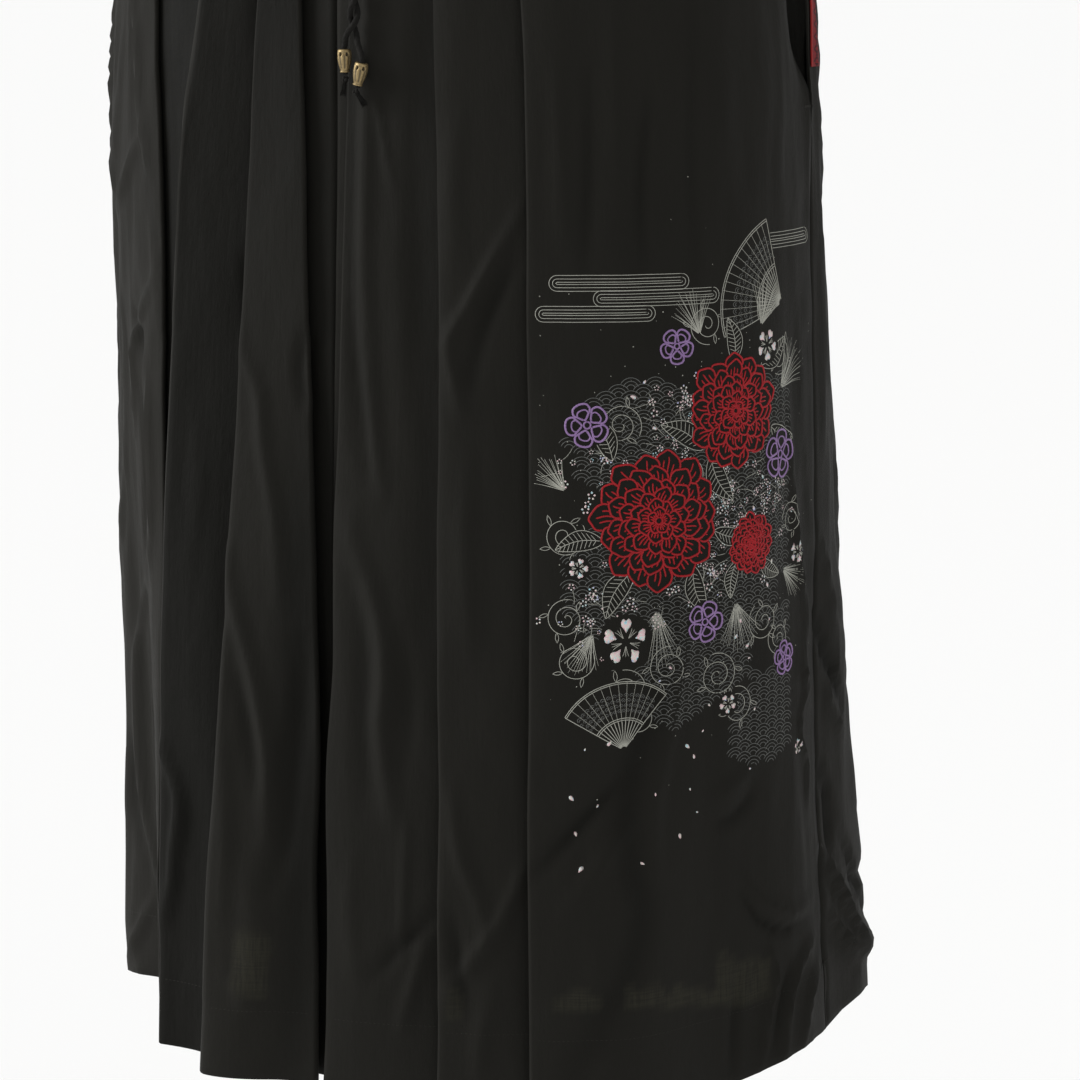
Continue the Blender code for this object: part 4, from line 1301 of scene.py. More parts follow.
class RunSurface:
    # The outer side of one run of a panel, found by metres across it and by the drop
    def __init__(self, panel, run, pitch=0.001):
        first, last = panel["runs"][run]
        grid = panel["grid"][:, first:last + 1]
        self.drops = panel["drops"]
        self.pitch = pitch
        lengths = np.concatenate([
            np.zeros((len(grid), 1)), np.cumsum(np.linalg.norm(np.diff(grid, axis=1), axis=2), axis=1)], axis=1)
        self.widths = lengths[:, -1]
        places = np.arange(int(self.widths.max() / pitch) + 3) * pitch
        self.points = np.empty((len(grid), len(places), 3))
        for row in range(len(grid)):
            for axis in range(3):
                self.points[row, :, axis] = np.interp(places, lengths[row], grid[row, :, axis])
        self.outward = unit(np.cross(np.gradient(self.points, axis=0), np.gradient(self.points, axis=1)))

    def width(self, drop):
        return float(np.interp(drop, self.drops, self.widths))

    def read(self, table, across, drop):
        row = np.interp(drop, self.drops, np.arange(len(self.drops)))
        column = np.clip(np.asarray(across) / self.pitch, 0.0, table.shape[1] - 1.001)
        row = np.clip(row, 0.0, table.shape[0] - 1.001)
        i, j = row.astype(int), column.astype(int)
        y, x = (row - i)[..., None], (column - j)[..., None]
        upper = table[i, j] * (1.0 - x) + table[i, j + 1] * x
        lower = table[i + 1, j] * (1.0 - x) + table[i + 1, j + 1] * x
        return upper * (1.0 - y) + lower * y

    def place(self, across, drop, lift=0.0):
        outward = unit(self.read(self.outward, across, drop))
        rise = np.asarray(shell["thickness"] / 2.0 + lift)[..., None]
        return self.read(self.points, across, drop) + outward * rise, outward


class LineWork:
    # Many closed little bars, tubes and patches that are joined into one piece
    def __init__(self):
        self.points = []
        self.faces = []
        self.count = 0

    def add(self, points, faces):
        self.points.append(np.asarray(points, float))
        self.faces += [[corner + self.count for corner in face] for face in faces]
        self.count += len(points)

    def bar(self, places, outward, width, height, sides=4, shares=None):
        # A thread along a line: an oval section, thinner where its share is less
        rows = len(places)
        if rows < 2:
            return
        ahead = unit(np.gradient(places, axis=0))
        aside = unit(np.cross(outward, ahead))
        shares = np.ones(rows) if shares is None else np.asarray(shares, float)
        turn = 2.0 * np.pi * (np.arange(sides) + 0.5) / sides
        ring = (aside[:, None] * np.cos(turn)[None, :, None] * width / 2.0
                + outward[:, None] * np.sin(turn)[None, :, None] * height / 2.0)
        points = places[:, None] + ring * shares[:, None, None]
        faces = gridFaces(rows, sides, closed=True).tolist()
        faces.append(list(range(sides))[::-1])
        faces.append([(rows - 1) * sides + side for side in range(sides)])
        self.add(points.reshape(-1, 3), faces)

    def patch(self, rim, rimOut, middle, middleOut, height, sink=0.00012):
        # A filled shape, slightly domed, closed below
        count = len(rim)
        top, below = middle + middleOut * height, middle - middleOut * sink * 1.6
        points = np.concatenate([rim - rimOut * sink, top[None], below[None]])
        faces = []
        for index in range(count):
            after = (index + 1) % count
            faces.append([index, after, count])
            faces.append([after, index, count + 1])
        self.add(points, faces)

    def make(self, name, material, slotName):
        piece = newPiece(name, np.concatenate(self.points), self.faces, material)
        print(name, "is laid on,", len(self.faces), "faces")
        return piece


rightSide, rightOuter, rightMiddle = (RunSurface(frontRight, run) for run in (0, 2, 3))
centreGroove = RunSurface(frontRight, 4)
leftPleats = [RunSurface(frontLeft, run) for run in (1, 2)]
leftFront = RunSurface(frontLeft, 3)
backRuns = [RunSurface(back, run) for run in range(5)]

# Sewing in fine black thread
sewing = {
    "stitch": 0.0021,
    "pitch": 0.0029,
    "width": 0.00034,
    "height": 0.00030,
    "lift": 0.00003,
    "dip": 0.00022,
    "inset": 0.0065,
    "tackLength": 0.0075,
    "tackRows": 3,
}


def sewLine(work, places, outward):
    # One short stitch after another, each dipping into the cloth at its ends
    pitch, stitch = sewing["pitch"], sewing["stitch"]
    lengths = lengthsAlong(places)
    start = pitch / 2.0
    while start + stitch < lengths[-1]:
        spots = start + stitch * np.array([0.0, 0.25, 0.75, 1.0])
        out = unit(readAlong(lengths, outward, spots))
        dip = sewing["dip"] * np.array([-1.0, 0.0, 0.0, -1.0])
        line = readAlong(lengths, places, spots) + out * dip[:, None]
        work.bar(line, out, sewing["width"], sewing["height"], 4, (0.6, 1.0, 1.0, 0.6))
        start += pitch


def acrossLine(surface, drop, start, end, lift):
    places = np.arange(start, end, 0.0015)
    return surface.place(places, np.full(len(places), drop), lift)


def addSewing():
    work = LineWork()
    hemDrop = skirt["length"] - shell["turnUp"] + 0.0012
    top = skirt["bandHeight"] + 0.006
    for surface in [rightSide, rightOuter, rightMiddle, centreGroove, *leftPleats, leftFront, *backRuns]:
        width = surface.width(hemDrop)
        sewLine(work, *acrossLine(surface, hemDrop, 0.002, width - 0.002, sewing["lift"]))
    # beside the side openings, with a small bar at the foot of each
    slitFoot, tack = skirt["slitEnd"] - 0.004, sewing["tackLength"]
    for surface, atEnd in ((leftFront, True), (rightSide, False), (backRuns[0], False), (backRuns[-1], True)):
        drops = np.arange(top, slitFoot + 0.012, 0.002)
        across = np.array([surface.width(drop) - sewing["inset"] if atEnd else sewing["inset"] for drop in drops])
        sewLine(work, *surface.place(across, drops, sewing["lift"]))
        drops = np.full(12, slitFoot + 0.006)
        start = surface.width(slitFoot) - tack if atEnd else 0.0
        places = start + np.linspace(0.0005, tack, 12)
        for row in range(sewing["tackRows"]):
            work.bar(*surface.place(places, drops + 0.0005 * row, 0.00012), 0.0005, 0.0004, 5)
    return work.make("blackStitches", sewingThread, "sewing_thread")


sewingThread = threadMaterial("sewingThread")
addSewing()

# The waistband: doubled crepe on an elastic, with a channel for the drawstring and two worked holes
band = {
    "columns": 360,
    "rows": 14,
    "round": 0.0011,
    "pucker": 0.00042,
    "puckers": 150,
    "drawnIn": 0.00035,
    "stitchDrops": (0.0035, 0.0365),
    "channelDrops": (0.0125, 0.0275),
    "facing": (0.0027, 0.0032, 0.0080),  # its two faces behind the middle of the band, and its reach below
}
buttonhole = {
    "stitches": 34,
    "inner": 0.0022,
    "reach": 0.0021,
    "tall": 1.35,
    "width": 0.00062,
    "height": 0.0006,
    "curve": 0.17,  # radius of the band beside the centre front
}


def bandProfile():
    # From the middle of the top edge down the outside and up the inside, rounded at both edges
    half, height, soft = skirt["bandThickness"] / 2.0, skirt["bandHeight"], band["round"]
    swings = np.linspace(0.0, math.pi / 2, 5)
    outer = [(half - soft * (1.0 - math.sin(turn)), soft * (1.0 - math.cos(turn))) for turn in swings]
    face = [(half, drop) for drop in np.linspace(soft, height - soft, band["rows"])[1:-1]]
    foot = [(half - soft * (1.0 - math.cos(turn)), height - soft * (1.0 - math.sin(turn))) for turn in swings]
    outside = outer + face + foot
    inside = [(-level, drop) for level, drop in outside[::-1] if drop < height - soft]
    # the inner layer reaches down behind the pleats that are sewn to it
    near, far, reach = band["facing"]
    facing = [(-near, height), (-near, height + reach), (-far, height + reach), (-far, height - 0.001)]
    return outside + facing + inside


def bandLevel(angle, level, drop):
    # Fine puckers of the elastic, drawn in at each row of stitches
    half = skirt["bandThickness"] / 2.0
    wave = np.cos(np.radians(angle) * band["puckers"] + 2.2 * softNoise(angle / 7.0, drop / 0.02, 41))
    drawn = 0.0
    for line in band["stitchDrops"] + band["channelDrops"]:
        drawn = drawn + np.exp(-((drop - line) / 0.0013) ** 2)
    drawn = np.minimum(1.0, drawn)
    puff = band["pucker"] * (0.6 + 0.4 * wave) * (1.0 - drawn) - band["drawnIn"] * drawn
    return level + np.sign(level) * (puff - band["pucker"] * 0.3) * (np.abs(level) > half * 0.55)


def addBand():
    profile = np.array(bandProfile())
    angles = np.linspace(0.0, 360.0, band["columns"], endpoint=False)
    angle, level = np.meshgrid(angles, profile[:, 0])
    drop = np.repeat(profile[:, 1:], len(angles), axis=1)
    fine = bandLevel(angle, level, drop)
    points = clothPoint(angle, skirt["gapAtWaist"] + fine, drop)
    rows, columns = angle.shape
    faces = gridFaces(rows, columns, closed=True, looped=True)[:, ::-1]
    girth = np.linalg.norm(np.roll(points[0], -1, axis=0) - points[0], axis=1).sum()
    along = np.repeat((angles / 360.0 * girth)[None, :], rows, axis=0)
    uv = np.stack([along, -np.repeat(lengthsAlong(profile)[:, None], columns, axis=1)], axis=-1).reshape(-1, 2)
    piece = newPiece("waistbandCloth", points.reshape(-1, 3), faces, crepe, ["waistband"], uv)
    addValues(piece, "sheer", np.zeros(rows * columns))


def bandOutward(places, angle, drop):
    outside = skirt["gapAtWaist"] + skirt["bandThickness"] / 2.0
    return unit(places - clothPoint(angle, outside - 0.003, drop))


def addBandSewing():
    work = LineWork()
    ring = np.linspace(0.0, 360.0, 900)
    outside = skirt["bandThickness"] / 2.0
    for drop in band["stitchDrops"] + band["channelDrops"]:
        drops = np.full(len(ring), drop)
        level = bandLevel(ring, np.full(len(ring), outside), drops)
        places = clothPoint(ring, skirt["gapAtWaist"] + level + 0.0001, drops)
        sewLine(work, places, bandOutward(places, ring, drops))
    # a worked hole round each cord
    outside = skirt["gapAtWaist"] + outside
    for end in drawEnds.values():
        side = end[0] * drawstring["exitSide"] + drawstring["middleTop"]
        middle = math.degrees(math.asin(side / buttonhole["curve"]))
        speed = float(ringSpeed(middle, drawstring["exitDrop"]))
        shares = np.array([0.0, 0.5, 1.0])
        reach = buttonhole["inner"] + buttonhole["reach"] * shares
        for step in range(buttonhole["stitches"]):
            turn = 2.0 * math.pi * step / buttonhole["stitches"]
            angle = middle + reach * math.cos(turn) / speed
            drop = drawstring["exitDrop"] + reach * buttonhole["tall"] * math.sin(turn)
            places = clothPoint(angle, outside + 0.00045 - 0.0003 * shares, drop)
            work.bar(places, bandOutward(places, angle, drop), buttonhole["width"], buttonhole["height"], 4)
    work.make("bandStitches", sewingThread, "sewing_thread")


addBand()
addBandSewing()

# A short woven tape beside the wearer's left side opening
tape = {
    "top": 0.135,
    "bottom": 0.217,
    "inset": 0.0045,
    "width": 0.0190,
    "thickness": 0.0011,
    "columns": 30,
    "rows": 96,
    "curl": 0.0005,
    "sewnAt": 0.0016,
    "ribPitch": 0.00085,
    "twillPitch": 0.0011,
    "pitch": 0.0075,
    "lozenge": 0.0062,
    "ground": ((0.060, 0.003, 0.005), (0.200, 0.010, 0.014)),
    "dark": (0.010, 0.002, 0.003),
    "edge": (0.300, 0.022, 0.020),
}


def tapeMaterial():
    # Twill ground with a column of plain dark lozenges and two brighter edges
    board = Board("redTape")
    across, down = board.cloth()
    ribs = (down * (2.0 * math.pi / tape["ribPitch"])).sine()
    twill = ((down + across) * (2.0 * math.pi / tape["twillPitch"])).sine()
    aside = (across - tape["width"] / 2.0).size()
    along = ((down / tape["pitch"]).fraction() - 0.5).size() * 2.0
    apart = along + aside / tape["lozenge"]
    lozenge = board.step(apart, 0.34, 0.46) * (1.0 - board.step(apart, 0.78, 0.92))
    corner = 1.0 - board.step((1.0 - along) + aside / tape["lozenge"], 0.20, 0.32)
    edge = board.step(aside, tape["width"] / 2.0 - 0.0030, tape["width"] / 2.0 - 0.0022)
    fine = board.noise(board.point(across, down), 1500.0, 3.0, 0.6)
    ground = board.mix((0.35 + 0.65 * fine).clamped(), *tape["ground"])
    dark = ((lozenge + corner) * (0.8 + 0.2 * ribs)).clamped()
    base = board.mix(dark, ground, tape["dark"])
    base = board.mix((edge * (0.72 + 0.28 * ribs)).clamped(), base, tape["edge"])
    normal = board.bump(ribs * 0.35 + twill * 0.2 + fine * 0.5 + lozenge * 0.5, 0.00025, 0.9)
    return board.finish(
        Base_Color=base, Roughness=(0.55 + 0.2 * fine).clamped(), Normal=normal, Specular_IOR_Level=0.15)


def addTape():
    surface = backRuns[0]
    across = np.linspace(0.0, tape["width"], tape["columns"])
    drops = np.linspace(tape["top"], tape["bottom"], tape["rows"])
    aside, down = np.meshgrid(across, drops)
    lift = skirt["seamGap"] + tape["thickness"] / 2.0 + 0.0003
    curl = tape["curl"] * np.sin(down / 0.021) * (aside / tape["width"])
    points, _ = surface.place(aside + tape["inset"], down, lift + curl)
    uv = np.stack([aside, down], axis=-1).reshape(-1, 2)
    faces = gridFaces(*aside.shape)[:, ::-1]
    piece = newPiece("wovenTape", points.reshape(-1, 3), faces, tapeMaterial(), ["side_tab"], uv)
    thicken(piece, "tape thickness", tape["thickness"])
    soften = piece.modifiers.new("soft edges", "BEVEL")
    soften.width = 0.0003
    soften.segments = 2
    work = LineWork()
    face, sewnAt = lift + tape["thickness"] / 2.0, tape["sewnAt"]
    for inset in (sewnAt, tape["width"] - sewnAt):
        lines = np.arange(tape["top"] + 0.002, tape["bottom"] - 0.002, 0.002)
        sewLine(work, *surface.place(np.full(len(lines), tape["inset"] + inset), lines, face))
    for line in (tape["top"] + 0.0022, tape["bottom"] - 0.0022):
        places = np.arange(sewnAt, tape["width"] - sewnAt, 0.001)
        sewLine(work, *surface.place(tape["inset"] + places, np.full(len(places), line), face))
    work.make("tapeStitches", redThread, "red_thread")


redThread = threadMaterial("redThread")
addTape()
print("waistband and tape are sewn on")


# The decoration of the broad left front: blossoms, fans, pine and waves of this file's own drawing.
# Every shape is drawn flat, in metres across the panel and metres of drop, and then laid on the cloth.


def inside(points, shape):
    # Which points lie inside a closed outline
    x, y = points[:, 0][:, None], points[:, 1][:, None]
    x1, y1 = shape[:, 0][None], shape[:, 1][None]
    x2, y2 = np.roll(shape[:, 0], -1)[None], np.roll(shape[:, 1], -1)[None]
    crosses = (y1 > y) != (y2 > y)
    at = (x2 - x1) * (y - y1) / np.where(np.abs(y2 - y1) < 1e-12, 1e-12, y2 - y1) + x1
    return (np.sum(crosses & (x < at), axis=1) % 2).astype(bool)


def cover(outline):
    # A shape that hides what is drawn after it, with its box
    return outline, outline.min(axis=0), outline.max(axis=0)


def uncovered(line, covers):
    # The stretches of a line that no shape on top of it hides
    shown = np.ones(len(line), bool)
    lineLow, lineHigh = line.min(axis=0), line.max(axis=0)
    for outline, low, high in covers:
        if (lineLow > high).any() or (lineHigh < low).any():
            continue
        near = np.all((line > low) & (line < high), axis=1)
        if near.any():
            shown[near] &= ~inside(line[near], outline)
    stretches = np.split(line, np.flatnonzero(np.diff(shown.astype(int))) + 1)
    first = 0 if shown[0] else 1
    return [stretch for stretch in stretches[first::2] if len(stretch) > 2]


def closedLine(points, step=0.0006):
    # A round closed outline through a few places
    ring = np.concatenate([points[-2:], points, points[:3]])
    lengths = lengthsAlong(ring)
    line = curveAlong(lengths, ring, np.arange(lengths[2], lengths[2 + len(points)], step))
    return np.concatenate([line, line[:1]])


def polar(centre, radius, turn):
    return np.stack([centre[0] + radius * np.sin(turn), centre[1] - radius * np.cos(turn)], axis=-1)


def circleLine(centre, radius, count):
    return closedLine(polar(centre, radius, roundTurns(count)))


frontMargins = (0.0012, 0.0035)  # what a drawn line keeps from the front's edge and from the side seam


def onFront(line):
    # Keeps a drawn line on the broad left front, between its edge and the side seam
    widths = np.interp(line[:, 1], leftFront.drops, leftFront.widths)
    nearEdge, nearSeam = frontMargins
    return line[(line[:, 0] > nearEdge) & (line[:, 0] < widths - nearSeam)]


def pieces(line):
    # Parts of a line that stay together after some of its points went
    if len(line) < 3:
        return []
    gaps = np.linalg.norm(np.diff(line, axis=0), axis=1)
    usual = np.median(gaps)
    return [part for part in np.split(line, np.flatnonzero(gaps > usual * 3.0) + 1) if len(part) > 2]


def layLine(work, line, width, height, covers=(), sides=4, chain=0.0, taper=0.0):
    for stretch in uncovered(line, covers):
        for part in pieces(onFront(stretch)):
            places, outward = leftFront.place(part[:, 0], part[:, 1])
            lengths = lengthsAlong(places)
            shares = np.ones(len(part))
            if chain:
                shares = 0.80 + 0.20 * np.abs(np.sin(np.pi * lengths / chain))
            if taper:
                shares = shares * np.clip((lengths[-1] - lengths) / (taper * lengths[-1]) + 0.25, 0.25, 1.0)
            shares[0] = shares[-1] = 0.45
            work.bar(places, outward, width, height, sides, shares)


def fillShape(work, outline, middle, height, covers=()):
    outline = outline[:-1] if np.allclose(outline[0], outline[-1]) else outline
    for shape, low, high in covers:
        if (middle > low).all() and (middle < high).all() and inside(np.array([middle]), shape)[0]:
            return
    if len(onFront(outline)) < len(outline):
        return
    rim, rimOut = leftFront.place(outline[:, 0], outline[:, 1])
    centre, centreOut = leftFront.place(np.array([middle[0]]), np.array([middle[1]]))
    work.patch(rim, rimOut, centre[0], centreOut[0], height)


# Dahlia blooms: centre across and drop, radius, turn, and each ring's reach, foot and number of petals
ringsOfPetals = (
    (1.0, 0.6, 15), (0.84, 0.44, 14), (0.67, 0.32, 12), (0.5, 0.2, 10), (0.34, 0.1, 7), (0.2, 0.04, 5))
dahlias = (
    ((0.1285, 0.417), 0.0345, 12.0),
    ((0.076, 0.479), 0.0405, 47.0),
    ((0.142, 0.499), 0.0185, 80.0),
)
thread = {"width": 0.0015, "height": 0.0010, "chain": 0.0021, "step": 0.0008}


def layThread(work, line, covers, thinner=1.0):
    # Embroidery: a raised chain of stitches
    layLine(work, line, thread["width"] * thinner, thread["height"], covers, 5, thread["chain"])


printed = {"width": 0.00055, "height": 0.00022, "fill": 0.00020}


def layPrint(work, line, covers, wider=1.0, taper=0.0):
    layLine(work, line, printed["width"] * wider, printed["height"], covers, taper=taper)


def petalLine(centre, foot, tip, middle, half, lean):
    # A pointed petal with a waist, its tip bent a little aside
    turns = np.array([-0.34, -0.80, -1.00, -0.80, -0.34, 0.0, 0.36, 0.82, 1.00, 0.78, 0.34]) * half
    shares = np.array([0.0, 0.28, 0.56, 0.78, 0.91, 1.0, 0.92, 0.76, 0.54, 0.28, 0.0])
    turns = turns + lean * shares ** 2
    return polar(centre, foot + (tip - foot) * shares, middle + turns)


def dahlia(work, centre, radius, turn, above, draw):
    covers = []
    heart = circleLine(centre, radius * 0.055, 8)
    layThread(work, heart, above)
    covers.append(cover(heart))
    for reach, foot, count in ringsOfPetals[::-1]:
        spin = math.radians(turn) + reach * 2.3
        half = math.pi / count * 1.10
        ring = []
        for petal in range(count):
            middle = spin + 2.0 * math.pi * (petal + draw.uniform(-0.14, 0.14)) / count
            tip = radius * reach * draw.uniform(0.90, 1.07)
            lean = draw.uniform(-0.5, 0.5) * half
            outline = closedLine(petalLine(centre, radius * foot, tip, middle, half, lean), thread["step"])
            hides = covers + ring + above
            layThread(work, outline, hides)
            for aside in (-0.42, 0.0, 0.42):
                first, last = draw.uniform(0.05, 0.22), draw.uniform(0.66, 0.84) - abs(aside) * 0.3
                shares = np.linspace(first, last, 12)
                wave = 0.05 * half * np.sin(shares * 9.0 + petal)
                line = polar(
                    centre, radius * foot + (tip - radius * foot) * shares,
                    middle + aside * half * (0.55 + 0.45 * np.sin(np.pi * shares)) + lean * shares ** 2 + wave)
                layThread(work, resample(line, thread["step"]), hides, 0.8)
            ring.append(cover(outline))
        covers += ring
    return covers


# Plum blossoms: centre, radius, turn
plums = (
    ((0.17, 0.448), 0.015, 10.0),
    ((0.033, 0.421), 0.013, 50.0),
    ((0.108, 0.543), 0.0125, 20.0),
    ((0.176, 0.575), 0.0105, 65.0),
    ((0.088, 0.376), 0.0105, 35.0),
)


def petalTurns(turn):
    return [turn + 2.0 * math.pi * petal / 5.0 for petal in range(5)]


def plum(work, centre, radius, turn, covers):
    heart = circleLine(centre, radius * 0.16, 8)
    layLine(work, heart, thread["width"] * 0.8, thread["height"], covers, 5)
    for middle in petalTurns(math.radians(turn)):
        for share, thinner in ((1.0, 1.0), (0.62, 0.75)):
            turns = np.array([-0.16, -0.50, -0.56, -0.34, 0.0, 0.34, 0.56, 0.50, 0.16]) * (0.62 + 0.38 * share)
            reaches = radius * (0.26 + np.array([0.0, 0.26, 0.50, 0.70, 0.74, 0.70, 0.50, 0.26, 0.0]) * share)
            layThread(work, closedLine(polar(centre, reaches, middle + turns)), covers, thinner)
    return circleLine(centre, radius * 0.98, 12)


# Pearly cherry blossoms: centre, radius, turn
pearls = (
    ((0.056, 0.551), 0.0165, 0.0),
    ((0.156, 0.38), 0.011, 30.0),
    ((0.193, 0.512), 0.008, 15.0),
    ((0.127, 0.596), 0.007, 40.0),
    ((0.027, 0.506), 0.007, 20.0),
    ((0.192, 0.635), 0.0055, 5.0),
)


def cherry(work, lines, centre, radius, turn, covers):
    for middle in petalTurns(math.radians(turn)):
        turns = np.array([0.0, -0.30, -0.52, -0.44, -0.16, 0.0, 0.16, 0.44, 0.52, 0.30])
        reaches = radius * np.array([0.17, 0.40, 0.66, 0.90, 1.00, 0.88, 1.00, 0.90, 0.66, 0.40])
        outline = closedLine(polar(centre, reaches, middle + turns), radius * 0.09)
        fillShape(work, outline, polar(centre, radius * 0.62, np.array(middle)), 0.00022, covers)
        for lean in (-0.22, 0.0, 0.22):
            steps = np.linspace(0.3, 1.0, 8)
            stamen = polar(centre, radius * np.linspace(0.16, 0.55, 8), middle + 0.63 + lean * steps)
            layLine(lines, stamen, printed["width"] * 0.8, printed["height"] * 1.6, covers)
    return circleLine(centre, radius, 12)


def leaf(lines, base, turn, length, covers):
    # A leaf: its outline, a midrib and side veins
    def at(share, aside):
        direction = np.array([math.sin(turn), -math.cos(turn)])
        other = np.array([math.cos(turn), math.sin(turn)])
        bow = 0.10 * length * np.sin(np.pi * share)
        return base + direction * (share * length)[..., None] + other * (aside + bow)[..., None]

    def halfWidth(share):
        return length * 0.21 * np.sin(np.pi * share ** 0.85) ** 0.8

    share = np.linspace(0.0, 1.0, 40)
    half = halfWidth(share)
    outline = np.concatenate([at(share, half), at(share[::-1], -half[::-1])])
    layPrint(lines, resample(outline, 0.0007), covers)
    layPrint(lines, resample(at(share, 0.0), 0.0009), covers)
    for place in np.linspace(0.14, 0.86, 9):
        for side in (-1.0, 1.0):
            run = np.linspace(0.0, 0.86, 8)
            there = np.clip(place + 0.10 * run, 0.0, 1.0)
            layPrint(lines, at(there, side * run * halfWidth(place)), covers, 0.8)
    return outline


# Leaves behind the blooms: place, turn, length
leaves = (
    ((0.11, 0.442), 150.0, 0.033), ((0.105, 0.438), -60.0, 0.032), ((0.15, 0.392), 60.0, 0.03),
    ((0.128, 0.388), -10.0, 0.027), ((0.16, 0.43), 110.0, 0.028), ((0.048, 0.442), -30.0, 0.03),
    ((0.042, 0.49), -100.0, 0.029), ((0.06, 0.508), -150.0, 0.033), ((0.098, 0.508), 160.0, 0.031),
    ((0.113, 0.488), 100.0, 0.026), ((0.15, 0.51), 120.0, 0.023), ((0.13, 0.508), 190.0, 0.023),
)

# Pine sprays: place, turn, spread, length, needles
pines = (
    ((0.17, 0.408), 48.0, 62.0, 0.036, 22), ((0.15, 0.368), 20.0, 64.0, 0.033, 22),
    ((0.02, 0.46), -40.0, 60.0, 0.024, 16), ((0.076, 0.533), 186.0, 66.0, 0.036, 24),
    ((0.13, 0.533), 165.0, 60.0, 0.033, 20), ((0.175, 0.52), 120.0, 60.0, 0.028, 18),
    ((0.103, 0.37), -20.0, 62.0, 0.028, 18), ((0.036, 0.545), 205.0, 56.0, 0.028, 16),
)


def pine(lines, base, turn, spread, length, needles, covers, draw):
    for needle in range(needles):
        share = needle / (needles - 1.0) - 0.5
        aim = math.radians(turn + spread * share + draw.uniform(-2.5, 2.5))
        reach = length * (1.0 - 0.9 * share * share) * draw.uniform(0.85, 1.05)
        steps = np.linspace(0.06, 1.0, 10)
        layPrint(lines, polar(base, reach * steps, aim + 0.22 * share * steps), covers, 1.05, 0.8)


fans = (
    {"pivot": (0.172, 0.356), "radius": 0.054, "from": -108.0, "to": -18.0, "blades": 15},
    {"pivot": (0.056, 0.617), "radius": 0.042, "from": -60.0, "to": 40.0, "blades": 13},
)

# Sizes are shares of a fan's radius, and "waves" and "waveRows" count the waves along and across it
fanShape = {
    "rims": (1.0, 0.975, 0.44, 0.47),
    "inner": 0.44,
    "waves": 16,
    "waveRows": 4,
    "waveFrom": 0.53,
    "waveStep": 0.075,
}


def fan(lines, waves, spec, covers):
    # An opened paper fan: its leaf with the folds, a wave border, and the sticks
    pivot, radius, inner = spec["pivot"], spec["radius"], fanShape["inner"]
    low, high = math.radians(spec["from"]), math.radians(spec["to"])
    arc = np.linspace(low, high, 160)
    for share in fanShape["rims"]:
        layPrint(lines, polar(pivot, radius * share, arc), covers, 1.1)
    for blade in range(spec["blades"] + 1):
        turn = low + (high - low) * blade / spec["blades"]
        edge = blade in (0, spec["blades"])
        reach, stick = np.linspace(inner, 1.0, 40), np.linspace(0.05, inner, 24)
        layPrint(lines, polar(pivot, radius * reach, turn), covers, 1.2 if edge else 0.55)
        layPrint(lines, polar(pivot, radius * stick, turn), covers, 1.2)
    scale = (high - low) / fanShape["waves"]
    height = radius * fanShape["waveStep"]
    for row in range(fanShape["waveRows"]):
        reach = radius * (fanShape["waveFrom"] + fanShape["waveStep"] * row)
        for column in range(fanShape["waves"]):
            middle = low + scale * (column + (0.5 if row % 2 else 0.0) + 0.25)
            if middle + scale * 0.5 > high:
                continue
            for share in (1.0, 0.62):
                turn = np.linspace(-1.0, 1.0, 13)
                bow = np.sqrt(np.clip(1.0 - turn ** 2, 0.0, 1.0))
                line = polar(pivot, reach + height * share * bow, middle + scale * 0.5 * share * turn)
                layPrint(waves, line, covers, 0.8)
    outer = polar(pivot, radius, arc)
    return np.concatenate([outer, np.array([pivot])])


# Wave scallops: where the field lies, by ovals (across, drop, half width, half drop)
waveField = {
    "radius": 0.0074,
    "rings": ((0.94, 1.05, 15), (0.66, 1.25, 13), (0.38, 1.25, 13)),  # share of the radius, half turn, points
    "line": 0.00052,
    "drops": (0.385, 0.66),
    "until": 0.184,
    "ovals": (
        (0.07, 0.435, 0.048, 0.036), (0.118, 0.46, 0.054, 0.046), (0.165, 0.49, 0.04, 0.042),
        (0.062, 0.52, 0.044, 0.042), (0.125, 0.55, 0.056, 0.04), (0.17, 0.57, 0.03, 0.038),
        (0.09, 0.585, 0.03, 0.026), (0.156, 0.615, 0.03, 0.026), (0.17, 0.43, 0.03, 0.03),
    ),
    "bare": ((0.03, 0.565, 0.015, 0.012), (0.154, 0.57, 0.014, 0.012), (0.176, 0.535, 0.011, 0.01)),
}


def inField(across, drop, ovals):
    return any(((across - x) / wide) ** 2 + ((drop - y) / high) ** 2 < 1.0 for x, y, wide, high in ovals)


def waveScallops(lines, covers):
    radius, row = waveField["radius"], 0
    drop, until = waveField["drops"]
    while drop < until:
        across = radius * (row % 2)
        while across < waveField["until"]:
            if inField(across, drop, waveField["ovals"]) and not inField(across, drop, waveField["bare"]):
                # arches that their lower neighbours cover at both feet
                for ring, reach, count in waveField["rings"]:
                    turn = np.linspace(-reach, reach, count)
                    line = polar((across, drop), radius * ring, turn)
                    layLine(lines, line, waveField["line"], printed["height"], covers)
            across += 2.0 * radius
        drop += radius * 0.52
        row += 1


# Mist bands at the top: left end, drop, length
mists = ((0.016, 0.338, 0.075), (0.042, 0.347, 0.07), (0.008, 0.356, 0.062), (0.15, 0.318, 0.056))
mistHeight = 0.0046


def mistBand(lines, start, drop, length, covers):
    for share in (1.0, 0.55, 0.14):
        half = mistHeight * share
        ends = np.linspace(-np.pi / 2, np.pi / 2, 14)
        right = np.stack([start + length + half * np.cos(ends), drop + half * np.sin(ends)], axis=-1)
        left = np.stack([start - half * np.cos(ends), drop - half * np.sin(ends)], axis=-1)
        outline = np.concatenate([right, left, right[:1]])
        lengths = lengthsAlong(outline)
        layPrint(lines, readAlong(lengths, outline, np.arange(0.0, lengths[-1], 0.0012)), covers, 0.9)


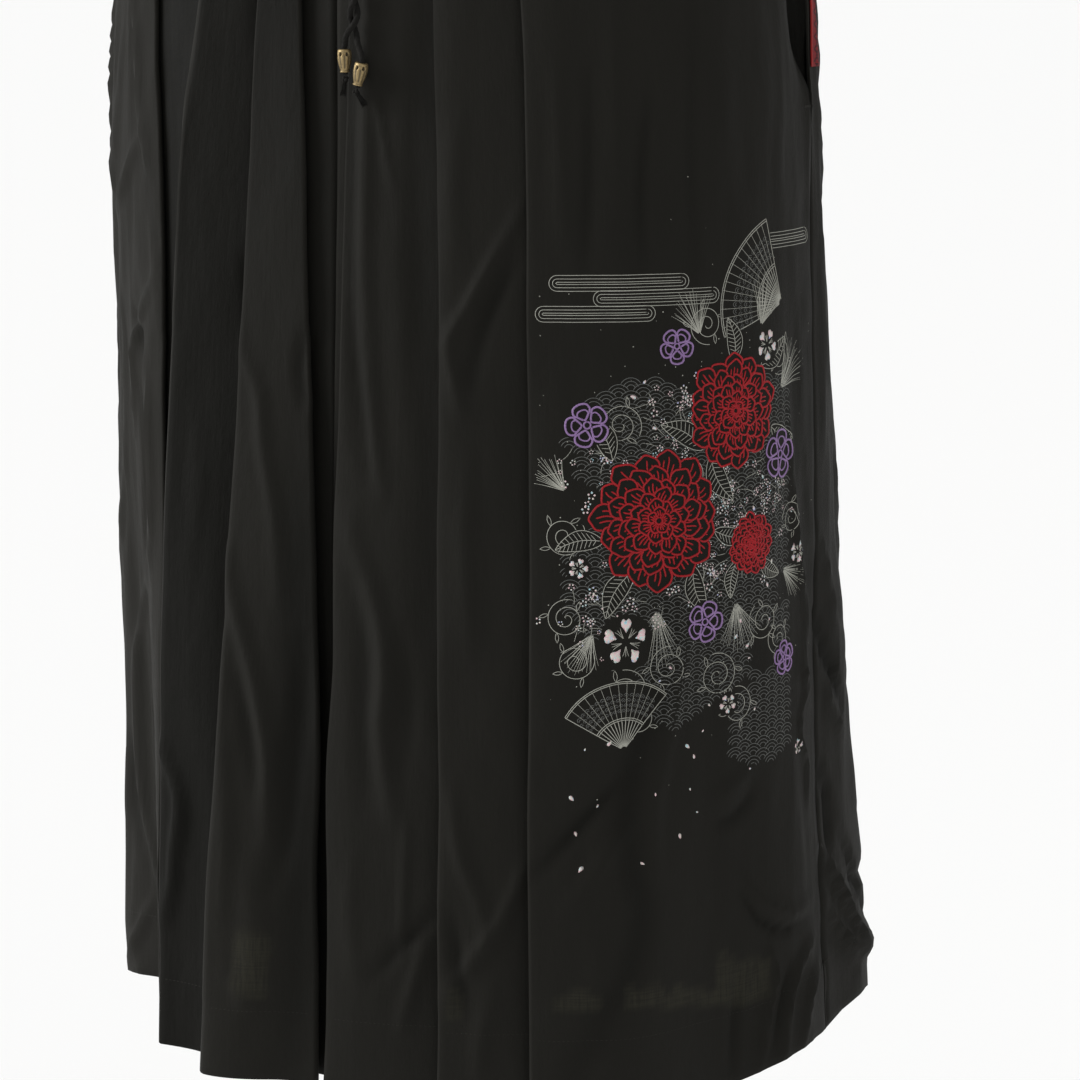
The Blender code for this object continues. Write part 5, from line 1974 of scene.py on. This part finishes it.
# Sprays of tiny blossoms: middle across and drop, spread across and down, how many
sprays = (
    ((0.09, 0.423), (0.015, 0.013), 44), ((0.04, 0.445), (0.012, 0.015), 26),
    ((0.124, 0.468), (0.013, 0.012), 40), ((0.108, 0.512), (0.017, 0.012), 40),
    ((0.162, 0.473), (0.011, 0.015), 28), ((0.048, 0.532), (0.015, 0.013), 36),
)


def tinyBlossoms(work, lines, covers, draw):
    for middle, spread, count in sprays:
        for _ in range(count):
            across, drop = draw.gauss(middle[0], spread[0]), draw.gauss(middle[1], spread[1])
            size, spin = draw.uniform(0.0009, 0.0020), draw.uniform(0.0, 6.28)
            for aim in petalTurns(spin):
                at = np.array([across + size * math.sin(aim), drop - size * math.cos(aim)])
                fillShape(work, polar(at, size * 0.56, roundTurns(7)), at, printed["fill"], covers)
            if draw.random() < 0.45:
                aim, bend = draw.uniform(0.0, 6.28), draw.uniform(-0.5, 0.5)
                steps = np.linspace(0.0022, draw.uniform(0.007, 0.013), 12)
                layPrint(lines, polar((across, drop), steps, aim + bend * steps / 0.012), covers, 0.7)


# Curling tendrils: foot across and drop, turn, reach, hand
tendrils = (
    ((0.03, 0.48), -120.0, 0.013, 1), ((0.024, 0.525), 200.0, 0.012, -1), ((0.054, 0.568), 170.0, 0.014, 1),
    ((0.086, 0.556), 190.0, 0.013, -1), ((0.114, 0.564), 160.0, 0.014, 1), ((0.146, 0.538), 140.0, 0.013, -1),
    ((0.174, 0.49), 90.0, 0.011, 1), ((0.164, 0.398), 30.0, 0.012, -1), ((0.11, 0.376), -10.0, 0.012, 1),
    ((0.064, 0.428), -60.0, 0.013, -1), ((0.1, 0.444), -150.0, 0.011, 1), ((0.036, 0.556), 240.0, 0.012, 1),
    ((0.07, 0.588), 200.0, 0.011, -1), ((0.132, 0.586), 170.0, 0.012, 1), ((0.16, 0.556), 120.0, 0.011, -1),
)


def tendril(lines, foot, turn, reach, hand, covers):
    aim = math.radians(turn)
    centre = np.array(foot) + reach * np.array([math.sin(aim), -math.cos(aim)])
    swing = np.linspace(0.0, 4.4 * math.pi, 110)
    radius = reach * (1.0 - swing / (4.75 * math.pi)) ** 0.9
    curl = polar(centre, radius, aim + math.pi + hand * swing)
    layPrint(lines, resample(curl, 0.0007), covers, 0.95)
    for share in (0.12, 0.22, 0.32, 0.42):
        at = curl[int(share * (len(curl) - 1))]
        out = (at - centre) / np.linalg.norm(at - centre)
        side = np.array([-out[1], out[0]]) * hand
        tip = at + out * reach * 0.42 + side * reach * 0.30
        for bow in (-0.16, 0.16):
            steps = np.linspace(0.0, 1.0, 9)[:, None]
            line = at + (tip - at) * steps + np.array([-(tip - at)[1], (tip - at)[0]]) * bow * np.sin(np.pi * steps)
            layPrint(lines, line, covers, 0.8)


# Loose petals and dust: how many, how large, and the dust's middle and spread across and down
loose = {
    "petals": 48,
    "petalSize": (0.0013, 0.0032),
    "dust": 430,
    "dustField": ((0.105, 0.050), (0.470, 0.062)),
    "dustSize": (0.00025, 0.00075),
    "dustHeight": 0.00018,
}


def fallingPetals(work, covers, draw):
    turns = roundTurns(11)
    for index in range(loose["petals"]):
        share = index / (loose["petals"] - 1.0)
        across = 0.045 + 0.14 * draw.random() * (0.5 + 0.5 * share) + 0.03 * math.sin(share * 5.0)
        drop = 0.400 + 0.285 * share + draw.uniform(-0.012, 0.012)
        size = draw.uniform(*loose["petalSize"])
        turn = draw.uniform(0.0, 2.0 * math.pi)
        x = size * 0.55 * np.sin(turns) * (1.0 - 0.35 * np.cos(turns))
        y = size * np.cos(turns)
        outline = np.stack([
            across + x * math.cos(turn) - y * math.sin(turn),
            drop + x * math.sin(turn) + y * math.cos(turn),
        ], axis=-1)
        fillShape(work, outline, np.array([across, drop]), printed["fill"], covers)


def silverDust(work, covers, draw):
    turns = roundTurns(6)
    for _ in range(loose["dust"]):
        across, drop = (draw.gauss(*middleAndSpread) for middleAndSpread in loose["dustField"])
        size = draw.uniform(*loose["dustSize"])
        outline = np.stack([across + size * np.sin(turns), drop + size * np.cos(turns)], axis=-1)
        fillShape(work, outline, np.array([across, drop]), loose["dustHeight"], covers)


printFinishes = {
    "silverPrint": {"dark": (0.16, 0.16, 0.135), "light": (0.46, 0.46, 0.40), "roughness": 0.45},
    "greyPrint": {"dark": (0.045, 0.047, 0.044), "light": (0.130, 0.134, 0.126), "roughness": 0.6},
}


def printMaterial(name):
    # Thin print, a little cracked and uneven
    finish = printFinishes[name]
    board = Board(name)
    spot = board.place()
    grain = board.noise(spot, 1700.0, 3.0, 0.65)
    broad = board.noise(spot, 120.0, 3.0)
    worn = (grain * 0.8 + broad * 0.6 - 0.2).clamped()
    return board.finish(
        Base_Color=board.mix(worn, finish["dark"], finish["light"]),
        Roughness=(finish["roughness"] + 0.2 * grain).clamped(),
        Normal=board.bump(grain, 0.00006, 0.6),
    )


pearlFinish = {
    "tints": (
        (0.34, (0.18, 0.50, 0.62)), (0.43, (0.50, 0.51, 0.44)), (0.50, (0.66, 0.30, 0.40)),
        (0.57, (0.46, 0.55, 0.40)), (0.66, (0.34, 0.34, 0.70)),
    ),
    "white": (0.72, 0.72, 0.68),
}


def pearlMaterial():
    # White foil that turns pink, green and blue from place to place
    board = Board("pearlFoil")
    spot = board.place()
    tint = board.noise(spot, 260.0, 3.0, 0.7)
    grain = board.noise(spot, 2400.0, 2.0, 0.6)
    colour = board.node("ShaderNodeValToRGB", {"stops": pearlFinish["tints"]}, {0: tint})
    return board.finish(
        Base_Color=board.mix((0.45 * grain).clamped(), colour, pearlFinish["white"]),
        Roughness=(0.26 + 0.25 * grain).clamped(),
        Normal=board.bump(grain, 0.00008, 0.6),
        Coat_Weight=0.4,
    )


def addDecoration():
    draw = random.Random(29)
    redWork, purpleWork, silverWork, waveWork, pearlWork = (LineWork() for _ in range(5))
    # what lies on top is drawn first, and hides what is drawn later
    covers = []
    for centre, radius, turn in dahlias:
        covers += dahlia(redWork, centre, radius, turn, covers, draw)
    for spec in plums:
        covers.append(cover(plum(purpleWork, *spec, covers)))
    for spec in pearls:
        covers.append(cover(cherry(pearlWork, silverWork, *spec, covers)))
    for base, turn, length in leaves:
        covers.append(cover(leaf(silverWork, np.array(base), math.radians(turn), length, covers)))
    for spec in pines:
        pine(silverWork, *spec, covers, draw)
    for spec in fans:
        covers.append(cover(fan(silverWork, waveWork, spec, covers)))
    for spec in tendrils:
        tendril(silverWork, *spec, covers)
    for spec in mists:
        mistBand(silverWork, *spec, covers)
    tinyBlossoms(pearlWork, silverWork, covers, draw)
    fallingPetals(pearlWork, covers, draw)
    silverDust(silverWork, covers, draw)
    waveScallops(waveWork, covers)
    redWork.make("redDahlias", redThread, "red_thread")
    purpleWork.make("purplePlums", threadMaterial("purpleThread"), "purple_thread")
    silverWork.make("silverLines", printMaterial("silverPrint"), "silver_print")
    waveWork.make("greyWaves", printMaterial("greyPrint"), "silver_print")
    pearlWork.make("pearlBlossoms", pearlMaterial(), "pearl_foil")


addDecoration()
print("the decoration is on the left front")

# Pale floor below the hem, as far as the camera sees
floorShape = {"below": 0.70, "reach": 400.0, "colour": (0.95, 0.95, 0.945)}


def addFloor():
    reach, level = floorShape["reach"], -(skirt["length"] + floorShape["below"])
    corners = [(x * reach, y * reach, level) for x, y in ((-1, -1), (1, -1), (1, 1), (-1, 1))]
    mesh = bpy.data.meshes.new("floor")
    mesh.from_pydata(corners, [], [(0, 1, 2, 3)])
    board = Board("paleFloor")
    mesh.materials.append(board.finish(Base_Color=floorShape["colour"], Roughness=0.9, Specular_IOR_Level=0.1))
    newObject("floor", mesh)


# Studio light: a broad soft source far to the camera's left, and a weak one in front
lights = {
    "world": 0.64,
    "key": {"turn": 88.0, "rise": 22.0, "strength": 3.2, "softness": 34.0},
    "fill": {"side": 1.3, "front": 2.6, "height": 0.7, "size": 1.8, "power": 6.0},
}


def addKey():
    # The turn is measured from the camera's own direction, round to its left
    turn = math.radians(viewpoint["azimuth"] - lights["key"]["turn"])
    rise = math.radians(lights["key"]["rise"])
    source = Vector((math.sin(turn) * math.cos(rise), -math.cos(turn) * math.cos(rise), math.sin(rise)))
    data = bpy.data.lights.new("key", "SUN")
    data.energy = lights["key"]["strength"]
    data.angle = math.radians(lights["key"]["softness"])
    newObject("key", data).rotation_euler = (-source).to_track_quat("-Z", "Y").to_euler()


def addFill():
    spec = lights["fill"]
    turn = math.radians(viewpoint["azimuth"])
    right = Vector((math.cos(turn), math.sin(turn), 0.0))
    front = Vector((math.sin(turn), -math.cos(turn), 0.0))
    target = Vector((0.0, 0.0, -skirt["length"] / 2.0))
    data = bpy.data.lights.new("fill", "AREA")
    data.shape = "DISK"
    data.size = spec["size"]
    data.energy = spec["power"]
    light = newObject("fill", data)
    light.location = target + right * spec["side"] + front * spec["front"] + Vector((0.0, 0.0, spec["height"]))
    light.rotation_euler = (target - light.location).to_track_quat("-Z", "Y").to_euler()


def addWorld():
    world = bpy.data.worlds.new("studio")
    world.use_nodes = True
    shade = world.node_tree.nodes["Background"]
    shade.inputs["Color"].default_value = (1.0, 1.0, 1.0, 1.0)
    shade.inputs["Strength"].default_value = lights["world"]
    bpy.context.scene.world = world
    bpy.context.scene.view_settings.view_transform = "Standard"


addFloor()
addKey()
addFill()
addWorld()
print("floor and lights stand")
